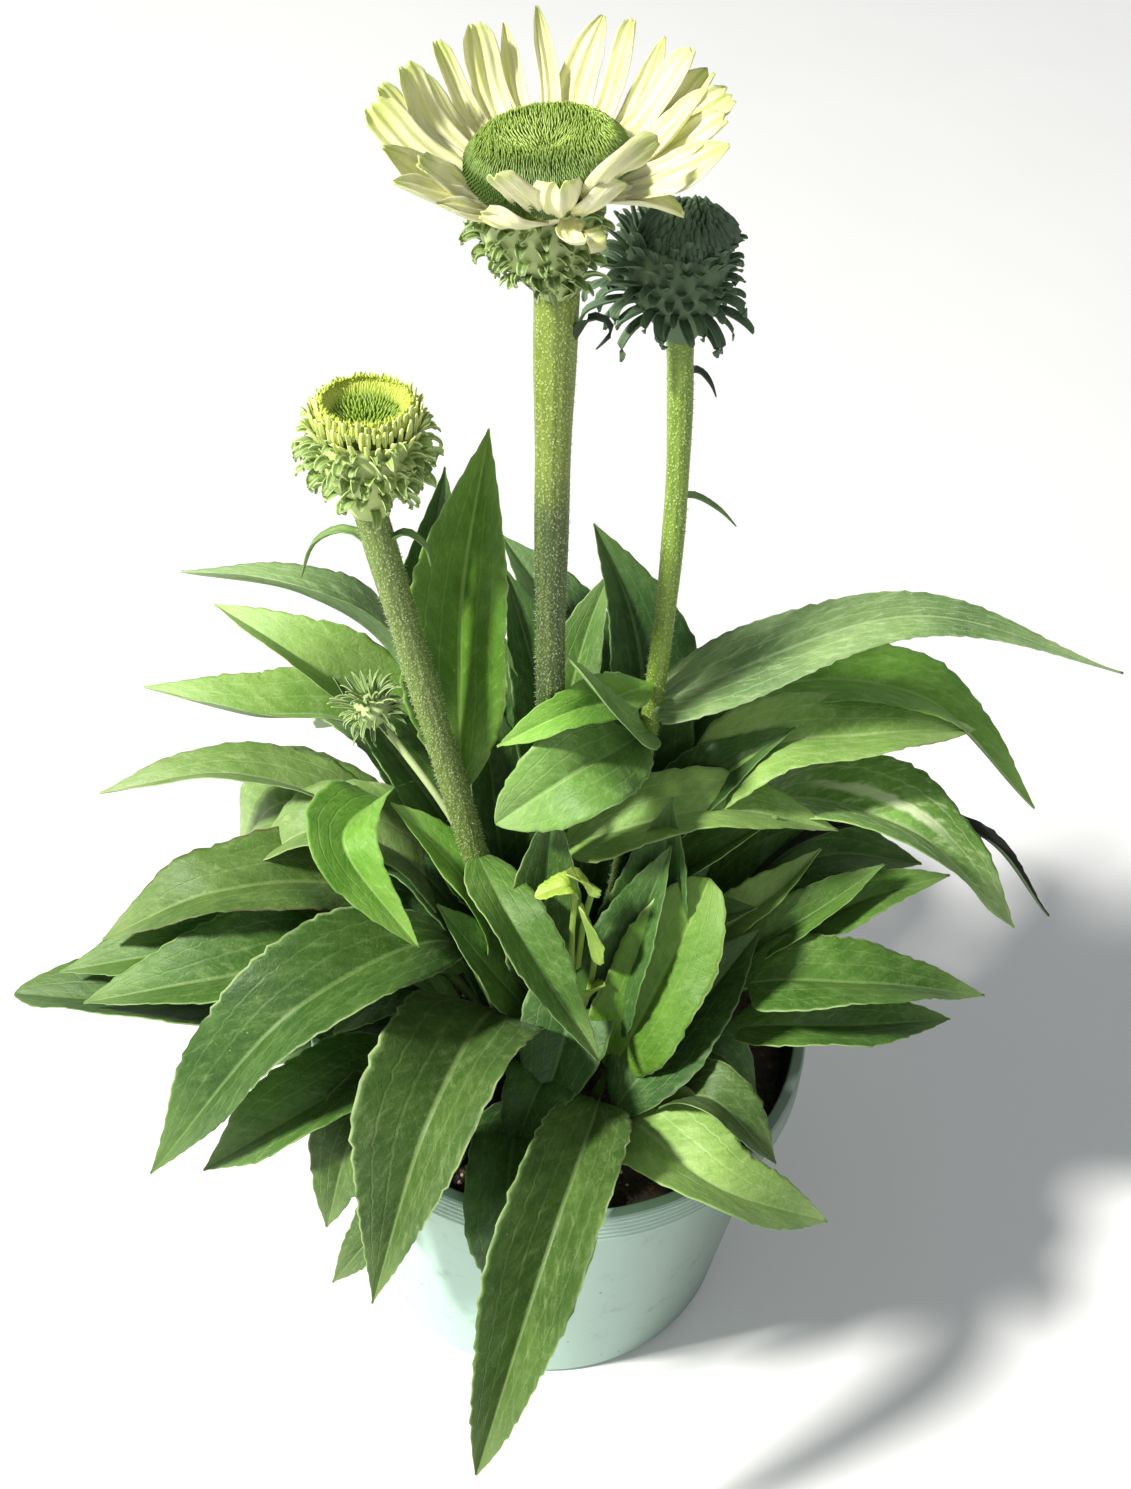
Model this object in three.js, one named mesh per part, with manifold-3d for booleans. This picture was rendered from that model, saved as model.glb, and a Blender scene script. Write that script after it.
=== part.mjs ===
// A coneflower (Echinacea) in a nursery pot: potting mix, a rosette of toothed lance-shaped leaves,
// and three hairy flower stems that carry one open white bloom, two heads still opening and a side bud.
// Millimetres, +Z up. The origin is the centre of the pot's underside.
import * as THREE from "three";
import { mergeVertices } from "three/addons/utils/BufferGeometryUtils.js";
import Module from "manifold-3d";

const wasm = await Module();
wasm.setup();

// ---------- driving dimensions ----------

const POT = {
  height: 120, rimRadius: 82.5, baseRadius: 65, wall: 1.6,
  lipHeight: 13, lipOut: 2.6, floor: 2, channel: 2.5, channelRadii: [34, 54],
  drainHoles: 6, drainRadius: 5, drainRing: 44, sides: 36,
};
const SOIL = { top: 108, dome: 3, gap: 0.3, bumps: 1.4, rings: 3, sides: 20 };
const SEAT_GAP = 0.3; // running gap between two pieces that touch
const STALK = { halfWidth: 1.6, thick: 2.6, buried: 14, hole: 2.8 };
const BLADE = { rib: 1.5, edge: 0.75, step: 11.5, least: 6, most: 10, tooth: 0.055, tipHalf: 0.5 };
const SEED = 2034;

const COLOURS = {
  pot: 0xa9cdbb, soil: 0x2c221b, leaf: 0x4f8a33, young: 0x9fc23a, stem: 0x86a23c,
  ray: 0xe9edc4, cone: 0x6a9a30, bract: 0x5f8544, darkHead: 0x2f4a33, paleHead: 0x9cb764,
};

// The three flower stems: foot on the soil, the point half way up and the top, radii at foot and top, and
// the length that stands in the soil.
const STEMS = {
  main: { foot: [0, -3], via: [-9, 8, 244], top: [-14, 10, 380], radii: [3.7, 4.9], peg: 20 },
  right: { foot: [9, 7], via: [22, 32, 240], top: [19, 48, 348], radii: [2.9, 3.7], peg: 20 },
  left: { foot: [-11, 5], via: [-34, 5, 204], top: [-61, 10, 311], radii: [4.1, 4.6], peg: 20 },
};
const STEM_SIDES = 8;
const STEM_STEPS = 7;
// Small leaves that are part of a stem: points from inside the stem outwards, and half the width.
const STEM_BRACTS = {
  main: [{ path: [[-12, 9, 361], [-7, 8, 371], [-2, 7, 372], [-2, 5, 362]], half: 2.6 }],
  right: [
    { path: [[20, 42, 298], [27, 46, 298], [35, 46, 294], [41, 45, 289]], half: 1.5 },
    { path: [[20, 47, 336], [26, 50, 335], [30, 50, 329]], half: 1.4 },
  ],
  left: [
    { path: [[-58, 9, 297], [-67, 10, 304], [-76, 11, 299], [-81, 12, 285]], half: 1.8 },
    { path: [[-58, 10, 300], [-50, 8, 306], [-46, 7, 298]], half: 1.6 },
  ],
};

// A head's own frame has +z along its axis, from the top of its stem, and leans by lean (x, y) per unit up.
// core is the profile [radius, height] of the cup that its bracts grow from.
const HEADS = {
  main: { lean: [-0.07, -0.05], core: [[5.2, 0], [6.5, 4], [12, 10], [16.5, 16], [17.5, 24], [15.5, 29]] },
  right: { lean: [-0.02, 0.02], core: [[4, 0], [6, 4], [10, 10], [13.4, 17], [14, 24], [13, 29]] },
  left: { lean: [-0.02, 0.02], core: [[5.2, 0], [8, 5], [12.5, 11], [15, 19], [15, 31]] },
};
const RAY = { foot: 12.5, at: 31, width: 7.4, thick: 0.8, groove: 8, start: 11, disc: 15, discThick: 2 };
// The open bloom's rays, anticlockwise from above: bearing, how far out the tip reaches, and how steeply
// the outer part rises, in degrees.
const RAYS = [
  [13, 44, 32], [26, 44, 38], [38, 44, 38], [49, 44, 40], [63, 45, 40], [76, 45, 42], [92, 46, 42],
  [103, 43, 40], [114, 44, 42], [125, 43, 42], [136, 43, 42], [148, 44, 40], [159, 43, 38], [171, 42, 34],
  [183, 40, 30], [196, 41, 20], [209, 38, 14], [223, 34, 16], [237, 31, -6], [252, 27, 82], [268, 27, 85],
  [285, 27, -24], [299, 28, 40], [314, 27.5, 80], [328, 37, -4], [344, 38, 22], [359, 42, 26],
];
// Rows of bracts on each cup: height, radius, how many, length, half width, first and last rise in degrees.
const BRACTS = {
  main: [
    [7, 5, 8, 9, 1.9, -10, -70], [13.5, 10, 10, 10, 2.1, 10, -60], [19, 13.5, 11, 10, 2.2, 20, -50],
    [24.5, 14.5, 11, 9, 2.2, 20, -40],
  ],
  right: [
    [6, 3, 7, 10, 1.8, -30, -80], [13, 8, 10, 11, 1.9, 0, -65], [20, 11, 11, 10, 2, 15, -45],
    [26, 11.5, 12, 8, 2, 35, 0],
  ],
  left: [
    [6, 4, 8, 10, 2, -20, -70], [13, 9, 11, 10, 2.1, 5, -60], [20, 12, 12, 10, 2.1, 15, -40],
    [27, 12.5, 13, 9, 2.1, 35, 0],
  ],
};
// Turned bodies covered in pointed florets: profile [radius, height], florets round and up, their length.
const CONE = {
  profile: [
    [13, 33.4], [17, 35.8], [19.8, 38.6], [21, 41.2], [20.2, 43.6], [17.2, 45.4], [12, 46.4], [6, 46.2],
    [2, 45.3],
  ],
  around: 22, rows: 10, rise: 1.8,
};
const DISCS = {
  right: {
    profile: [[11.4, 29.3], [12.4, 31], [11.2, 33.6], [7, 35], [1.5, 35.4]],
    around: 13, rows: 6, rise: 1.6,
  },
  left: {
    profile: [[12.6, 31.3], [13.6, 33.6], [11.6, 35], [8.4, 33.4], [5, 32], [1.5, 31.7]],
    around: 14, rows: 7, rise: 1.3,
  },
};
// The side bud: where its thin stalk leaves the stem, the points it runs through, and its own small cup.
const BUD = {
  on: "left", from: 0.4, path: [[-41, 10, 203], [-55, 20, 216], [-61, 23, 222]], stalk: 1.5,
  axis: [-0.5, 0.2, 1], core: [[2, 0], [5, 2.5], [6, 6], [4, 9.5]],
  rows: [[3.5, 3, 6, 6, 1.6, 5, -35], [7.5, 3, 6, 6, 1.6, 45, 15]],
};

// Leaves of the rosette: name, foot [x, y] in the soil, then the foot of the blade, its middle and its tip,
// the blade's width, the share of the whole length that is bare stalk, how far both halves fold up from the
// rib, and how far the blade rolls about it, left side up, in degrees.
const LEAVES = [
  // left side, from the back round to the front
  ["leaf_01", [-12, 15], [-60, 66, 212], [-89, 66, 236], [-131, 75, 234], 24, 0.4, 12, 28],
  ["leaf_02", [-17, 13], [-67, 55, 195], [-93, 58, 217], [-121, 74, 222], 30, 0.38, 18, 0],
  ["leaf_03", [-23, 12], [-72, 54, 190], [-106, 45, 202], [-142, 55, 201], 32, 0.38, 14, 6],
  ["leaf_04", [-19, 7], [-66, 27, 173], [-107, 28, 191], [-152, 25, 181], 27, 0.38, 10, 6],
  ["leaf_05", [-28, 15], [-72, 40, 158], [-95, 41, 163], [-109, 45, 130], 34, 0.38, 8, 0],
  ["leaf_06", [-18, 0], [-57, 26, 184], [-72, -6, 199], [-45, -25, 174], 25, 0.46, 14, 0],
  ["leaf_07", [-25, 6], [-70, 10, 160], [-110, -5, 171], [-147, -9, 149], 33, 0.35, 10, 0],
  ["leaf_08", [-27, 0], [-77, -3, 142], [-123, -10, 146], [-162, -11, 134], 30, 0.35, 10, 0],
  ["leaf_09", [-21, -5], [-66, -12, 152], [-108, -26, 154], [-150, -27, 139], 34, 0.3, 14, 0],
  ["leaf_10", [-32, -4], [-84, -13, 127], [-127, -18, 130], [-180, -10, 120], 31, 0.35, 10, 0],
  ["leaf_11", [-15, -6], [-36, -10, 160], [-77, -45, 168], [-123, -69, 110], 37, 0.26, 10, 0],
  ["leaf_12", [-25, -11], [-50, -34, 130], [-77, -56, 130], [-108, -63, 105], 30, 0.28, 12, 0],
  ["leaf_13", [-28, -17], [-46, -38, 124], [-60, -60, 126], [-68, -74, 95], 25, 0.28, 10, 0],
  ["leaf_14", [-22, -25], [-28, -52, 123], [-39, -74, 124], [-66, -80, 73], 20, 0.28, 10, 0],
  ["leaf_15", [-12, -13], [-21, -22, 142], [-36, -68, 149], [-51, -96, 89], 38, 0.22, 12, 0],
  // front
  ["leaf_16", [12, -35], [14, -44, 127], [3, -93, 132], [-15, -140, 72], 31, 0.09, 14, 0],
  ["leaf_17", [24, -37], [30, -50, 122], [51, -71, 126], [89, -64, 103], 31, 0.14, 10, 0],
  ["leaf_18", [29, -28], [35, -36, 122], [49, -46, 138], [71, -55, 119], 20, 0.2, 14, 0],
  ["leaf_19", [19, -37], [22, -40, 126], [42, -20, 147], [62, 2, 164], 30, 0.16, 12, 0],
  ["leaf_20", [12, -27], [14, -30, 136], [26, -17, 165], [42, 2, 190], 32, 0.22, 20, 0],
  ["leaf_21", [-3, -24], [-9, -38, 118], [-12, -78, 126], [-10, -93, 84], 27, 0.16, 8, 0],
  // right side, from the front round to the back
  ["leaf_22", [31, -10], [60, -15, 135], [94, -13, 138], [129, 0, 129], 23, 0.3, 12, 0],
  ["leaf_23", [25, -7], [58, -12, 152], [96, -11, 157], [138, 1, 141], 30, 0.42, 10, 0],
  ["leaf_24", [27, -1], [66, 8, 149], [96, 19, 163], [125, 31, 165], 22, 0.38, 10, 0],
  ["leaf_25", [21, -2], [58, 3, 150], [80, 10, 166], [101, 23, 176], 17, 0.4, 14, 0],
  ["leaf_26", [18, 3], [52, 10, 154], [68, 16, 168], [80, 24, 180], 16, 0.45, 14, 0],
  ["leaf_27", [18, 9], [62, 47, 171], [106, 23, 191], [146, 16, 158], 34, 0.47, 12, 0],
  ["leaf_28", [24, 11], [82, 36, 176], [130, 34, 183], [160, 27, 153], 7, 0.4, 14, 0],
  ["leaf_29", [14, 13], [61, 41, 211], [92, 48, 211], [127, 66, 201], 28, 0.56, 10, 0],
  ["leaf_30", [10, 19], [61, 54, 221], [110, 58, 224], [154, 56, 175], 31, 0.48, 10, 0],
  // the far side
  ["leaf_31", [27, 19], [62, 54, 150], [88, 80, 158], [114, 104, 130], 33, 0.34, 12, 0],
  ["leaf_32", [13, 26], [26, 68, 150], [38, 102, 158], [50, 140, 128], 34, 0.34, 12, 0],
  ["leaf_33", [-4, 28], [-10, 72, 150], [-18, 108, 158], [-28, 146, 128], 34, 0.34, 12, 0],
  ["leaf_34", [-19, 24], [-48, 64, 150], [-72, 90, 158], [-98, 120, 128], 33, 0.34, 12, 0],
  ["leaf_35", [-7, 17], [-42, 52, 212], [-50, 66, 240], [-46, 68, 286], 27, 0.42, 12, 0],
  ["leaf_36", [-1, 18], [-3, 58, 200], [-10, 84, 218], [-30, 106, 234], 36, 0.38, 10, 0],
  ["leaf_37", [5, 20], [20, 54, 200], [23, 68, 224], [16, 84, 244], 34, 0.38, 10, 0],
];
// Leaves that grow from a stem, at a share of its length: then the blade's middle and tip and the same four.
const STEM_LEAVES = [
  ["stem_leaf_1", "left", 0.5, [-37, 26, 268], [-31, 32, 325], 31, 0.06, 14, 0],
  ["stem_leaf_2", "left", 0.38, [-9, -18, 178], [15, -43, 150], 22, 0.06, 10, 0],
  ["stem_leaf_3", "right", 0.46, [88, 40, 252], [164, 43, 245], 32, 0.1, 12, 14],
  ["stem_leaf_4", "right", 0.32, [50, 16, 204], [84, 22, 191], 33, 0.06, 12, 24],
  ["stem_leaf_5", "right", 0.42, [-1, -6, 234], [-23, -10, 215], 26, 0.06, 8, -36],
  ["stem_leaf_6", "right", 0.49, [-9, -5, 252], [-26, -1, 237], 13, 0.06, 8, -30],
  ["stem_leaf_7", "right", 0.36, [5, 35, 236], [-10, 33, 254], 12, 0.06, 10, 0],
];
// Young leaves that share one foot in the middle of the pot.
const YOUNG_LEAVES = [
  ["young_1", [6, -16], [5, -16, 132], [1, -15, 154], [-5, -13, 176], 11, 0.4, 14, 0],
  ["young_2", [6, -16], [8, -14, 130], [11, -9, 146], [10, 0, 160], 11, 0.4, 14, 0],
  ["young_3", [6, -16], [9, -17, 126], [16, -17, 138], [26, -14, 147], 10, 0.4, 14, 0],
];

// ---------- small helpers ----------

const rad = THREE.MathUtils.degToRad;
const vec = (x, y, z) => new THREE.Vector3(x, y, z);
const UP = vec(0, 0, 1);
const polar = (r, bearing, z = 0) => vec(r * Math.cos(rad(bearing)), r * Math.sin(rad(bearing)), z);
const mix = (a, b, t) => a + (b - a) * t;

function randomSource(seed) {
  let state = seed >>> 0;
  return () => {
    state = (state + 0x6d2b79f5) >>> 0;
    let t = state;
    t = Math.imul(t ^ (t >>> 15), t | 1);
    t ^= t + Math.imul(t ^ (t >>> 7), t | 61);
    return ((t ^ (t >>> 14)) >>> 0) / 4294967296;
  };
}

function solidOf(geometry) {
  const bare = geometry.clone();
  for (const name of ["normal", "uv"]) bare.deleteAttribute(name);
  const merged = mergeVertices(bare, 1e-4);
  return new wasm.Manifold(
    new wasm.Mesh({
      numProp: 3,
      vertProperties: new Float32Array(merged.attributes.position.array),
      triVerts: new Uint32Array(merged.index.array),
    }),
  );
}

function geometryOf(solid) {
  const mesh = solid.getMesh();
  const geometry = new THREE.BufferGeometry();
  geometry.setAttribute("position", new THREE.BufferAttribute(mesh.vertProperties, 3));
  geometry.setIndex(new THREE.BufferAttribute(mesh.triVerts, 1));
  return geometry;
}

// A closed solid through rings of points that all hold the same number of points, in the same order,
// counter-clockwise seen from the far end. The far half of each ring takes the mirrored diagonal, so the
// two faces of a flat section are split alike.
function loft(rings) {
  const n = rings[0].length;
  const faces = [];
  for (let i = 0; i + 1 < rings.length; i++) {
    for (let j = 0; j < n; j++) {
      const a = i * n + j;
      const b = i * n + ((j + 1) % n);
      if (j < n / 2) faces.push(a, b, b + n, a, b + n, a + n);
      else faces.push(a, b, a + n, b, b + n, a + n);
    }
  }
  const last = (rings.length - 1) * n;
  const caps = n === 3 ? [[0, 1, 2]] : [];
  for (let i = 0; n > 3 && i < n / 2 - 1; i++) caps.push([i, i + 1, n - 2 - i], [i, n - 2 - i, n - 1 - i]);
  for (const [a, b, c] of caps) faces.push(a, c, b, last + a, last + b, last + c);
  const geometry = new THREE.BufferGeometry();
  const numbers = rings.flat().flatMap((p) => [p.x, p.y, p.z]);
  geometry.setAttribute("position", new THREE.Float32BufferAttribute(numbers, 3));
  geometry.setIndex(faces);
  return geometry;
}

// The curve that leaves foot, passes through via at share t of its run, and ends at tip.
function arch(foot, via, tip, t = 0.5) {
  const ends = foot.clone().multiplyScalar((1 - t) ** 2).addScaledVector(tip, t ** 2);
  const handle = via.clone().sub(ends).divideScalar(2 * t * (1 - t));
  return new THREE.QuadraticBezierCurve3(foot, handle, tip);
}

// Across and out of a blade at t: across lies level unless rolled, and out is the upper face's normal.
function bladeFrame(curve, t, heading, roll) {
  const along = curve.getTangentAt(t);
  const level = vec().crossVectors(UP, heading);
  const across = level.addScaledVector(along, -level.dot(along)).normalize();
  const out = vec().crossVectors(along, across);
  const c = Math.cos(rad(roll));
  const s = Math.sin(rad(roll));
  return {
    across: across.clone().multiplyScalar(c).addScaledVector(out, s),
    out: out.clone().multiplyScalar(c).addScaledVector(across, -s),
  };
}

// Six points round a blade: left, rib and right on the upper face, then right, rib and left below.
function bladeRing(at, frame, half, fold, rib, edge, lifts = [0, 0]) {
  const rise = half * Math.tan(rad(fold));
  const point = (side, lift) =>
    at.clone().addScaledVector(frame.across, side).addScaledVector(frame.out, lift);
  return [
    point(half, rise + lifts[0]),
    point(0, 0),
    point(-half, rise + lifts[1]),
    point(-half, rise + lifts[1] - edge),
    point(0, -rib),
    point(half, rise + lifts[0] - edge),
  ];
}

const LANCE = { base: 0.6, tip: 1.0 }; // how quickly a lance-shaped blade widens and narrows

function lance(s) {
  const peak = LANCE.base / (LANCE.base + LANCE.tip);
  const shape = (u) => u ** LANCE.base * (1 - u) ** LANCE.tip;
  return shape(s) / shape(peak);
}

// ---------- stems ----------

const stemCurves = Object.fromEntries(Object.entries(STEMS).map(([name, { foot, via, top }]) =>
  [name, arch(vec(...foot, SOIL.top), vec(...via), vec(...top))]));

function roundRing(at, along, radius, sides) {
  const side = vec(1, 0, 0).addScaledVector(along, -along.x).normalize();
  const other = vec().crossVectors(along, side);
  return Array.from({ length: sides }, (_, i) => {
    const a = (i / sides) * 2 * Math.PI;
    const [x, y] = [radius * Math.cos(a), radius * Math.sin(a)];
    return at.clone().addScaledVector(side, x).addScaledVector(other, y);
  });
}

function stemSolid(name, grow = 0) {
  const { radii, peg } = STEMS[name];
  const curve = stemCurves[name];
  const foot = curve.getPoint(0);
  const rings = [roundRing(foot.clone().setZ(foot.z - peg - grow), UP, radii[0] + grow, STEM_SIDES)];
  for (let i = 0; i <= STEM_STEPS; i++) {
    const t = i / STEM_STEPS;
    const top = vec(...HEADS[name].lean, 1).normalize();
    const along = i === 0 ? UP : i === STEM_STEPS ? top : curve.getTangent(t);
    rings.push(roundRing(curve.getPoint(t), along, mix(...radii, t ** 3) + grow, STEM_SIDES));
  }
  return solidOf(loft(rings));
}

// A small three-sided leaf along a curve, widest below its middle and pointed at its end.
function sprig(path, half) {
  const curve = new THREE.CatmullRomCurve3(path.map((p) => vec(...p)));
  const shares = [0, 0.35, 0.7, 1];
  const widths = [0.7, 1, 0.8, 0.15];
  return solidOf(loft(shares.map((t, i) => {
    const along = curve.getTangentAt(t);
    const across = vec().crossVectors(UP, along).normalize();
    const out = vec().crossVectors(along, across);
    const at = curve.getPointAt(t);
    return [
      at.clone().addScaledVector(across, widths[i] * half),
      at.clone().addScaledVector(across, -widths[i] * half),
      at.clone().addScaledVector(out, -1.1),
    ];
  })));
}

const joined = (solids) => solids.reduce((whole, each) => whole.add(each));
const leafyStem = (name) =>
  joined([stemSolid(name), ...STEM_BRACTS[name].map(({ path, half }) => sprig(path, half))]);

// ---------- leaves ----------

const rosetteLeaf = ([name, foot, base, mid, tip, width, bare, fold, roll]) =>
  ({ name, foot, base, mid, tip, width, bare, fold, roll });
const stemLeaf = ([name, on, from, mid, tip, width, bare, fold, roll]) =>
  ({ name, on, from, mid, tip, width, bare, fold, roll });

function leafCurve({ foot, on, from, base, mid, tip }) {
  const start = on ? stemCurves[on].getPoint(from) : vec(...foot, SOIL.top + STALK.thick / 2);
  const rest = [base, mid, tip].filter(Boolean).map((p) => vec(...p));
  return new THREE.CatmullRomCurve3([start, ...rest], false, "centripetal");
}

// The level direction that a blade runs in, from the foot of its blade to its tip.
function leafHeading(leaf, curve) {
  const from = leaf.base ? vec(...leaf.base) : curve.getPoint(0);
  return vec(...leaf.tip).sub(from).setZ(0).normalize();
}

function leafSolid(leaf, index) {
  const random = randomSource(SEED + index);
  const curve = leafCurve(leaf);
  const heading = leafHeading(leaf, curve);
  const rings = [];
  const stalk = (at, frame) =>
    rings.push(bladeRing(at, frame, STALK.halfWidth, 0, STALK.thick, STALK.thick));
  if (!leaf.on) {
    const level = { across: vec().crossVectors(UP, heading), out: heading.clone().negate() };
    const [x, y] = leaf.foot;
    for (const z of [SOIL.top - STALK.buried, SOIL.top]) {
      stalk(vec(x, y, z).addScaledVector(level.out, STALK.thick / 2), level);
    }
  }
  for (const t of leaf.on ? [0] : [0.05, leaf.bare * 0.6]) {
    const frame = bladeFrame(curve, t, heading, 0);
    stalk(curve.getPointAt(t).addScaledVector(frame.out, STALK.thick / 2), frame);
  }
  const wave = 0.035 * leaf.width;
  const phase = [random() * 6.28, random() * 6.28];
  const wanted = Math.round((curve.getLength() * (1 - leaf.bare)) / BLADE.step);
  const stations = THREE.MathUtils.clamp(wanted, BLADE.least, BLADE.most);
  for (let i = 0; i < stations; i++) {
    const s = i / (stations - 1);
    const t = mix(leaf.bare, 1, s);
    const open = Math.min(1, s * 3);
    const frame = bladeFrame(curve, t, heading, leaf.roll * open);
    const tooth = 1 + (i % 2 ? BLADE.tooth : -BLADE.tooth);
    const half = Math.max((leaf.width / 2) * lance(s) * tooth, mix(STALK.halfWidth, BLADE.tipHalf, s));
    const lifts = phase.map((p) => wave * lance(s) * Math.sin(p + s * 9));
    const rib = mix(mix(STALK.thick, BLADE.rib, open), BLADE.edge, s);
    const edge = mix(STALK.thick, BLADE.edge, open);
    const at = curve.getPointAt(t).addScaledVector(frame.out, mix(STALK.thick / 2, 0, open));
    rings.push(bladeRing(at, frame, half, leaf.fold * open, rib, edge, lifts));
  }
  const solid = solidOf(loft(rings));
  return leaf.on ? solid.subtract(stemSolid(leaf.on, SEAT_GAP)) : solid;
}

// ---------- pot and soil ----------

function turned(profile, sides) {
  const closed = [...profile, profile[0]].map(([r, z]) => new THREE.Vector2(r, z));
  const geometry = new THREE.LatheGeometry(closed, sides);
  return geometry.rotateX(Math.PI / 2);
}

const wallRadius = (z) => mix(POT.baseRadius, POT.rimRadius - POT.lipOut, z / POT.height);

// The pot stands on a flat middle and an outer ring, with a raised channel of drain holes between them.
function potSolid() {
  const { height, wall, lipHeight, floor, channel, channelRadii } = POT;
  const lipFoot = height - lipHeight;
  const body = solidOf(turned([
    [0, 0],
    [channelRadii[0], 0],
    [channelRadii[0] + 2, channel],
    [channelRadii[1] - 2, channel],
    [channelRadii[1], 0],
    [POT.baseRadius - 1.5, 0],
    [wallRadius(2), 2],
    [wallRadius(lipFoot), lipFoot],
    [POT.rimRadius - 0.6, lipFoot + 1],
    [POT.rimRadius, height - 1],
    [POT.rimRadius - 1, height],
    [wallRadius(height) - wall, height],
    [wallRadius(channel + floor) - wall, channel + floor],
    [channelRadii[0], channel + floor],
    [channelRadii[0] - 2, floor],
    [0, floor],
  ], POT.sides));
  const drain = new THREE.CylinderGeometry(POT.drainRadius, POT.drainRadius, 4 * (floor + channel), 6);
  drain.rotateX(Math.PI / 2);
  let pot = body;
  for (let i = 0; i < POT.drainHoles; i++) {
    const at = polar(POT.drainRing, (i * 360) / POT.drainHoles, channel);
    pot = pot.subtract(solidOf(drain.clone().translate(at.x, at.y, at.z)));
  }
  return pot;
}

function soilSolid() {
  const random = randomSource(SEED);
  const bottom = POT.channel + POT.floor + SOIL.gap;
  const middle = POT.channelRadii[0] - 2.5;
  const inner = (z) => wallRadius(z) - POT.wall - SOIL.gap;
  const ring = (r, z, bumps) => Array.from({ length: SOIL.sides }, (_, i) =>
    polar(r, (i * 360) / SOIL.sides, z + bumps * (random() - 0.5)));
  const rings = [ring(middle - 2, POT.floor + SOIL.gap, 0), ring(middle, bottom, 0)];
  rings.push(ring(inner(bottom), bottom, 0), ring(inner(SOIL.top - SOIL.dome), SOIL.top - SOIL.dome, 0));
  for (let i = SOIL.rings; i > 0; i--) {
    const share = i / (SOIL.rings + 1);
    rings.push(ring(inner(SOIL.top) * share, SOIL.top - SOIL.dome * share ** 2, i === 1 ? 0 : SOIL.bumps));
  }
  let soil = solidOf(loft(rings));
  const hole = (x, y, radius, depth, sides, turn = 0) => {
    const cut = new THREE.CylinderGeometry(radius, radius, 2 * depth, sides).rotateX(Math.PI / 2);
    return solidOf(cut.rotateZ(turn).translate(x, y, SOIL.top));
  };
  for (const { foot, radii, peg } of Object.values(STEMS)) {
    soil = soil.subtract(hole(...foot, radii[0] + 2 * SEAT_GAP, peg + SEAT_GAP, STEM_SIDES));
  }
  for (const leaf of LEAVES.map(rosetteLeaf)) {
    const heading = leafHeading(leaf, leafCurve(leaf));
    const turn = Math.atan2(heading.y, heading.x) + Math.PI / 4;
    soil = soil.subtract(hole(...leaf.foot, STALK.hole, STALK.buried + SEAT_GAP, 4, turn));
  }
  soil = soil.subtract(hole(...YOUNG_LEAVES[0][1], 1.6 * STALK.hole, STALK.buried + SEAT_GAP, 6));
  return soil;
}

// ---------- flower heads ----------

// A strip that starts at [r, z] on a bearing and follows a list of steps: each step is its length, how
// steeply it rises and how far it turns sideways, in degrees. half and thick give its size at each point.
function stripRings(start, bearing, steps, half, thick, sectionOf) {
  const at = polar(start[0], bearing, start[1]);
  const rings = [];
  let turn = bearing;
  let rise = steps[0][1];
  steps.forEach(([, firstRise, sideways = 0], i) => {
    const along = polar(Math.cos(rad(rise)), turn, Math.sin(rad(rise)));
    const across = polar(1, turn + 90);
    const out = vec().crossVectors(along, across);
    rings.push(sectionOf({ at: at.clone(), along, across, out }, half[i], thick[i], i));
    turn = bearing + sideways;
    rise = firstRise;
    at.addScaledVector(polar(Math.cos(rad(rise)), turn, Math.sin(rad(rise))), steps[i][0]);
  });
  return rings;
}

// A pointed bract or floret: three-sided, flat above and keeled below.
function spike(start, bearing, steps, half, thick) {
  return solidOf(loft(stripRings(start, bearing, steps, half, thick, ({ at, across, out }, w, t) => [
    at.clone().addScaledVector(across, w),
    at.clone().addScaledVector(across, -w),
    at.clone().addScaledVector(out, -t),
  ])));
}

function ray([bearing, reach, steep], index, random) {
  const { foot, at, width, thick, groove, start } = RAY;
  const length = (reach - foot) / mix(Math.cos(rad(start)), Math.cos(rad(steep)), 0.5);
  const shares = [0.36, 0.26, 0.24, 0.14, 0];
  const rises = [start, mix(start, steep, 0.55), steep, steep, steep];
  const swing = 8 * (random() - 0.5);
  const steps = shares.map((share, i) => [share * length, rises[i], (swing * i) / 4]);
  const wide = width * (0.9 + 0.2 * random());
  const half = [0.14, 0.34, 0.5, 0.48, 0.3].map((share) => share * wide);
  const tip = half.length - 1;
  const section = ({ at: middle, along, across, out }, w, t, i) => {
    const lift = w * Math.tan(rad(groove));
    const notch = i === tip ? -2.2 : 0;
    const point = (side, up, back = 0) =>
      middle.clone().addScaledVector(across, side).addScaledVector(out, up).addScaledVector(along, back);
    return [
      point(w, lift + t / 2), point(0, t / 2, notch), point(-w, lift + t / 2),
      point(-w, lift - t / 2), point(0, -t / 2, notch), point(w, lift - t / 2),
    ];
  };
  const level = at + 0.5 * (index % 2 ? 1 : -1);
  return solidOf(loft(stripRings([foot, level], bearing, steps, half, half.map(() => thick), section)));
}

function raysSolid() {
  const random = randomSource(SEED + 101);
  const low = RAY.at - RAY.discThick / 2;
  const high = low + RAY.discThick;
  const disc = solidOf(turned([[0, low], [RAY.disc, low], [RAY.disc, high], [0, high]], 16));
  return joined([disc, ...RAYS.map((row, i) => ray(row, i, random))]);
}

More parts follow.
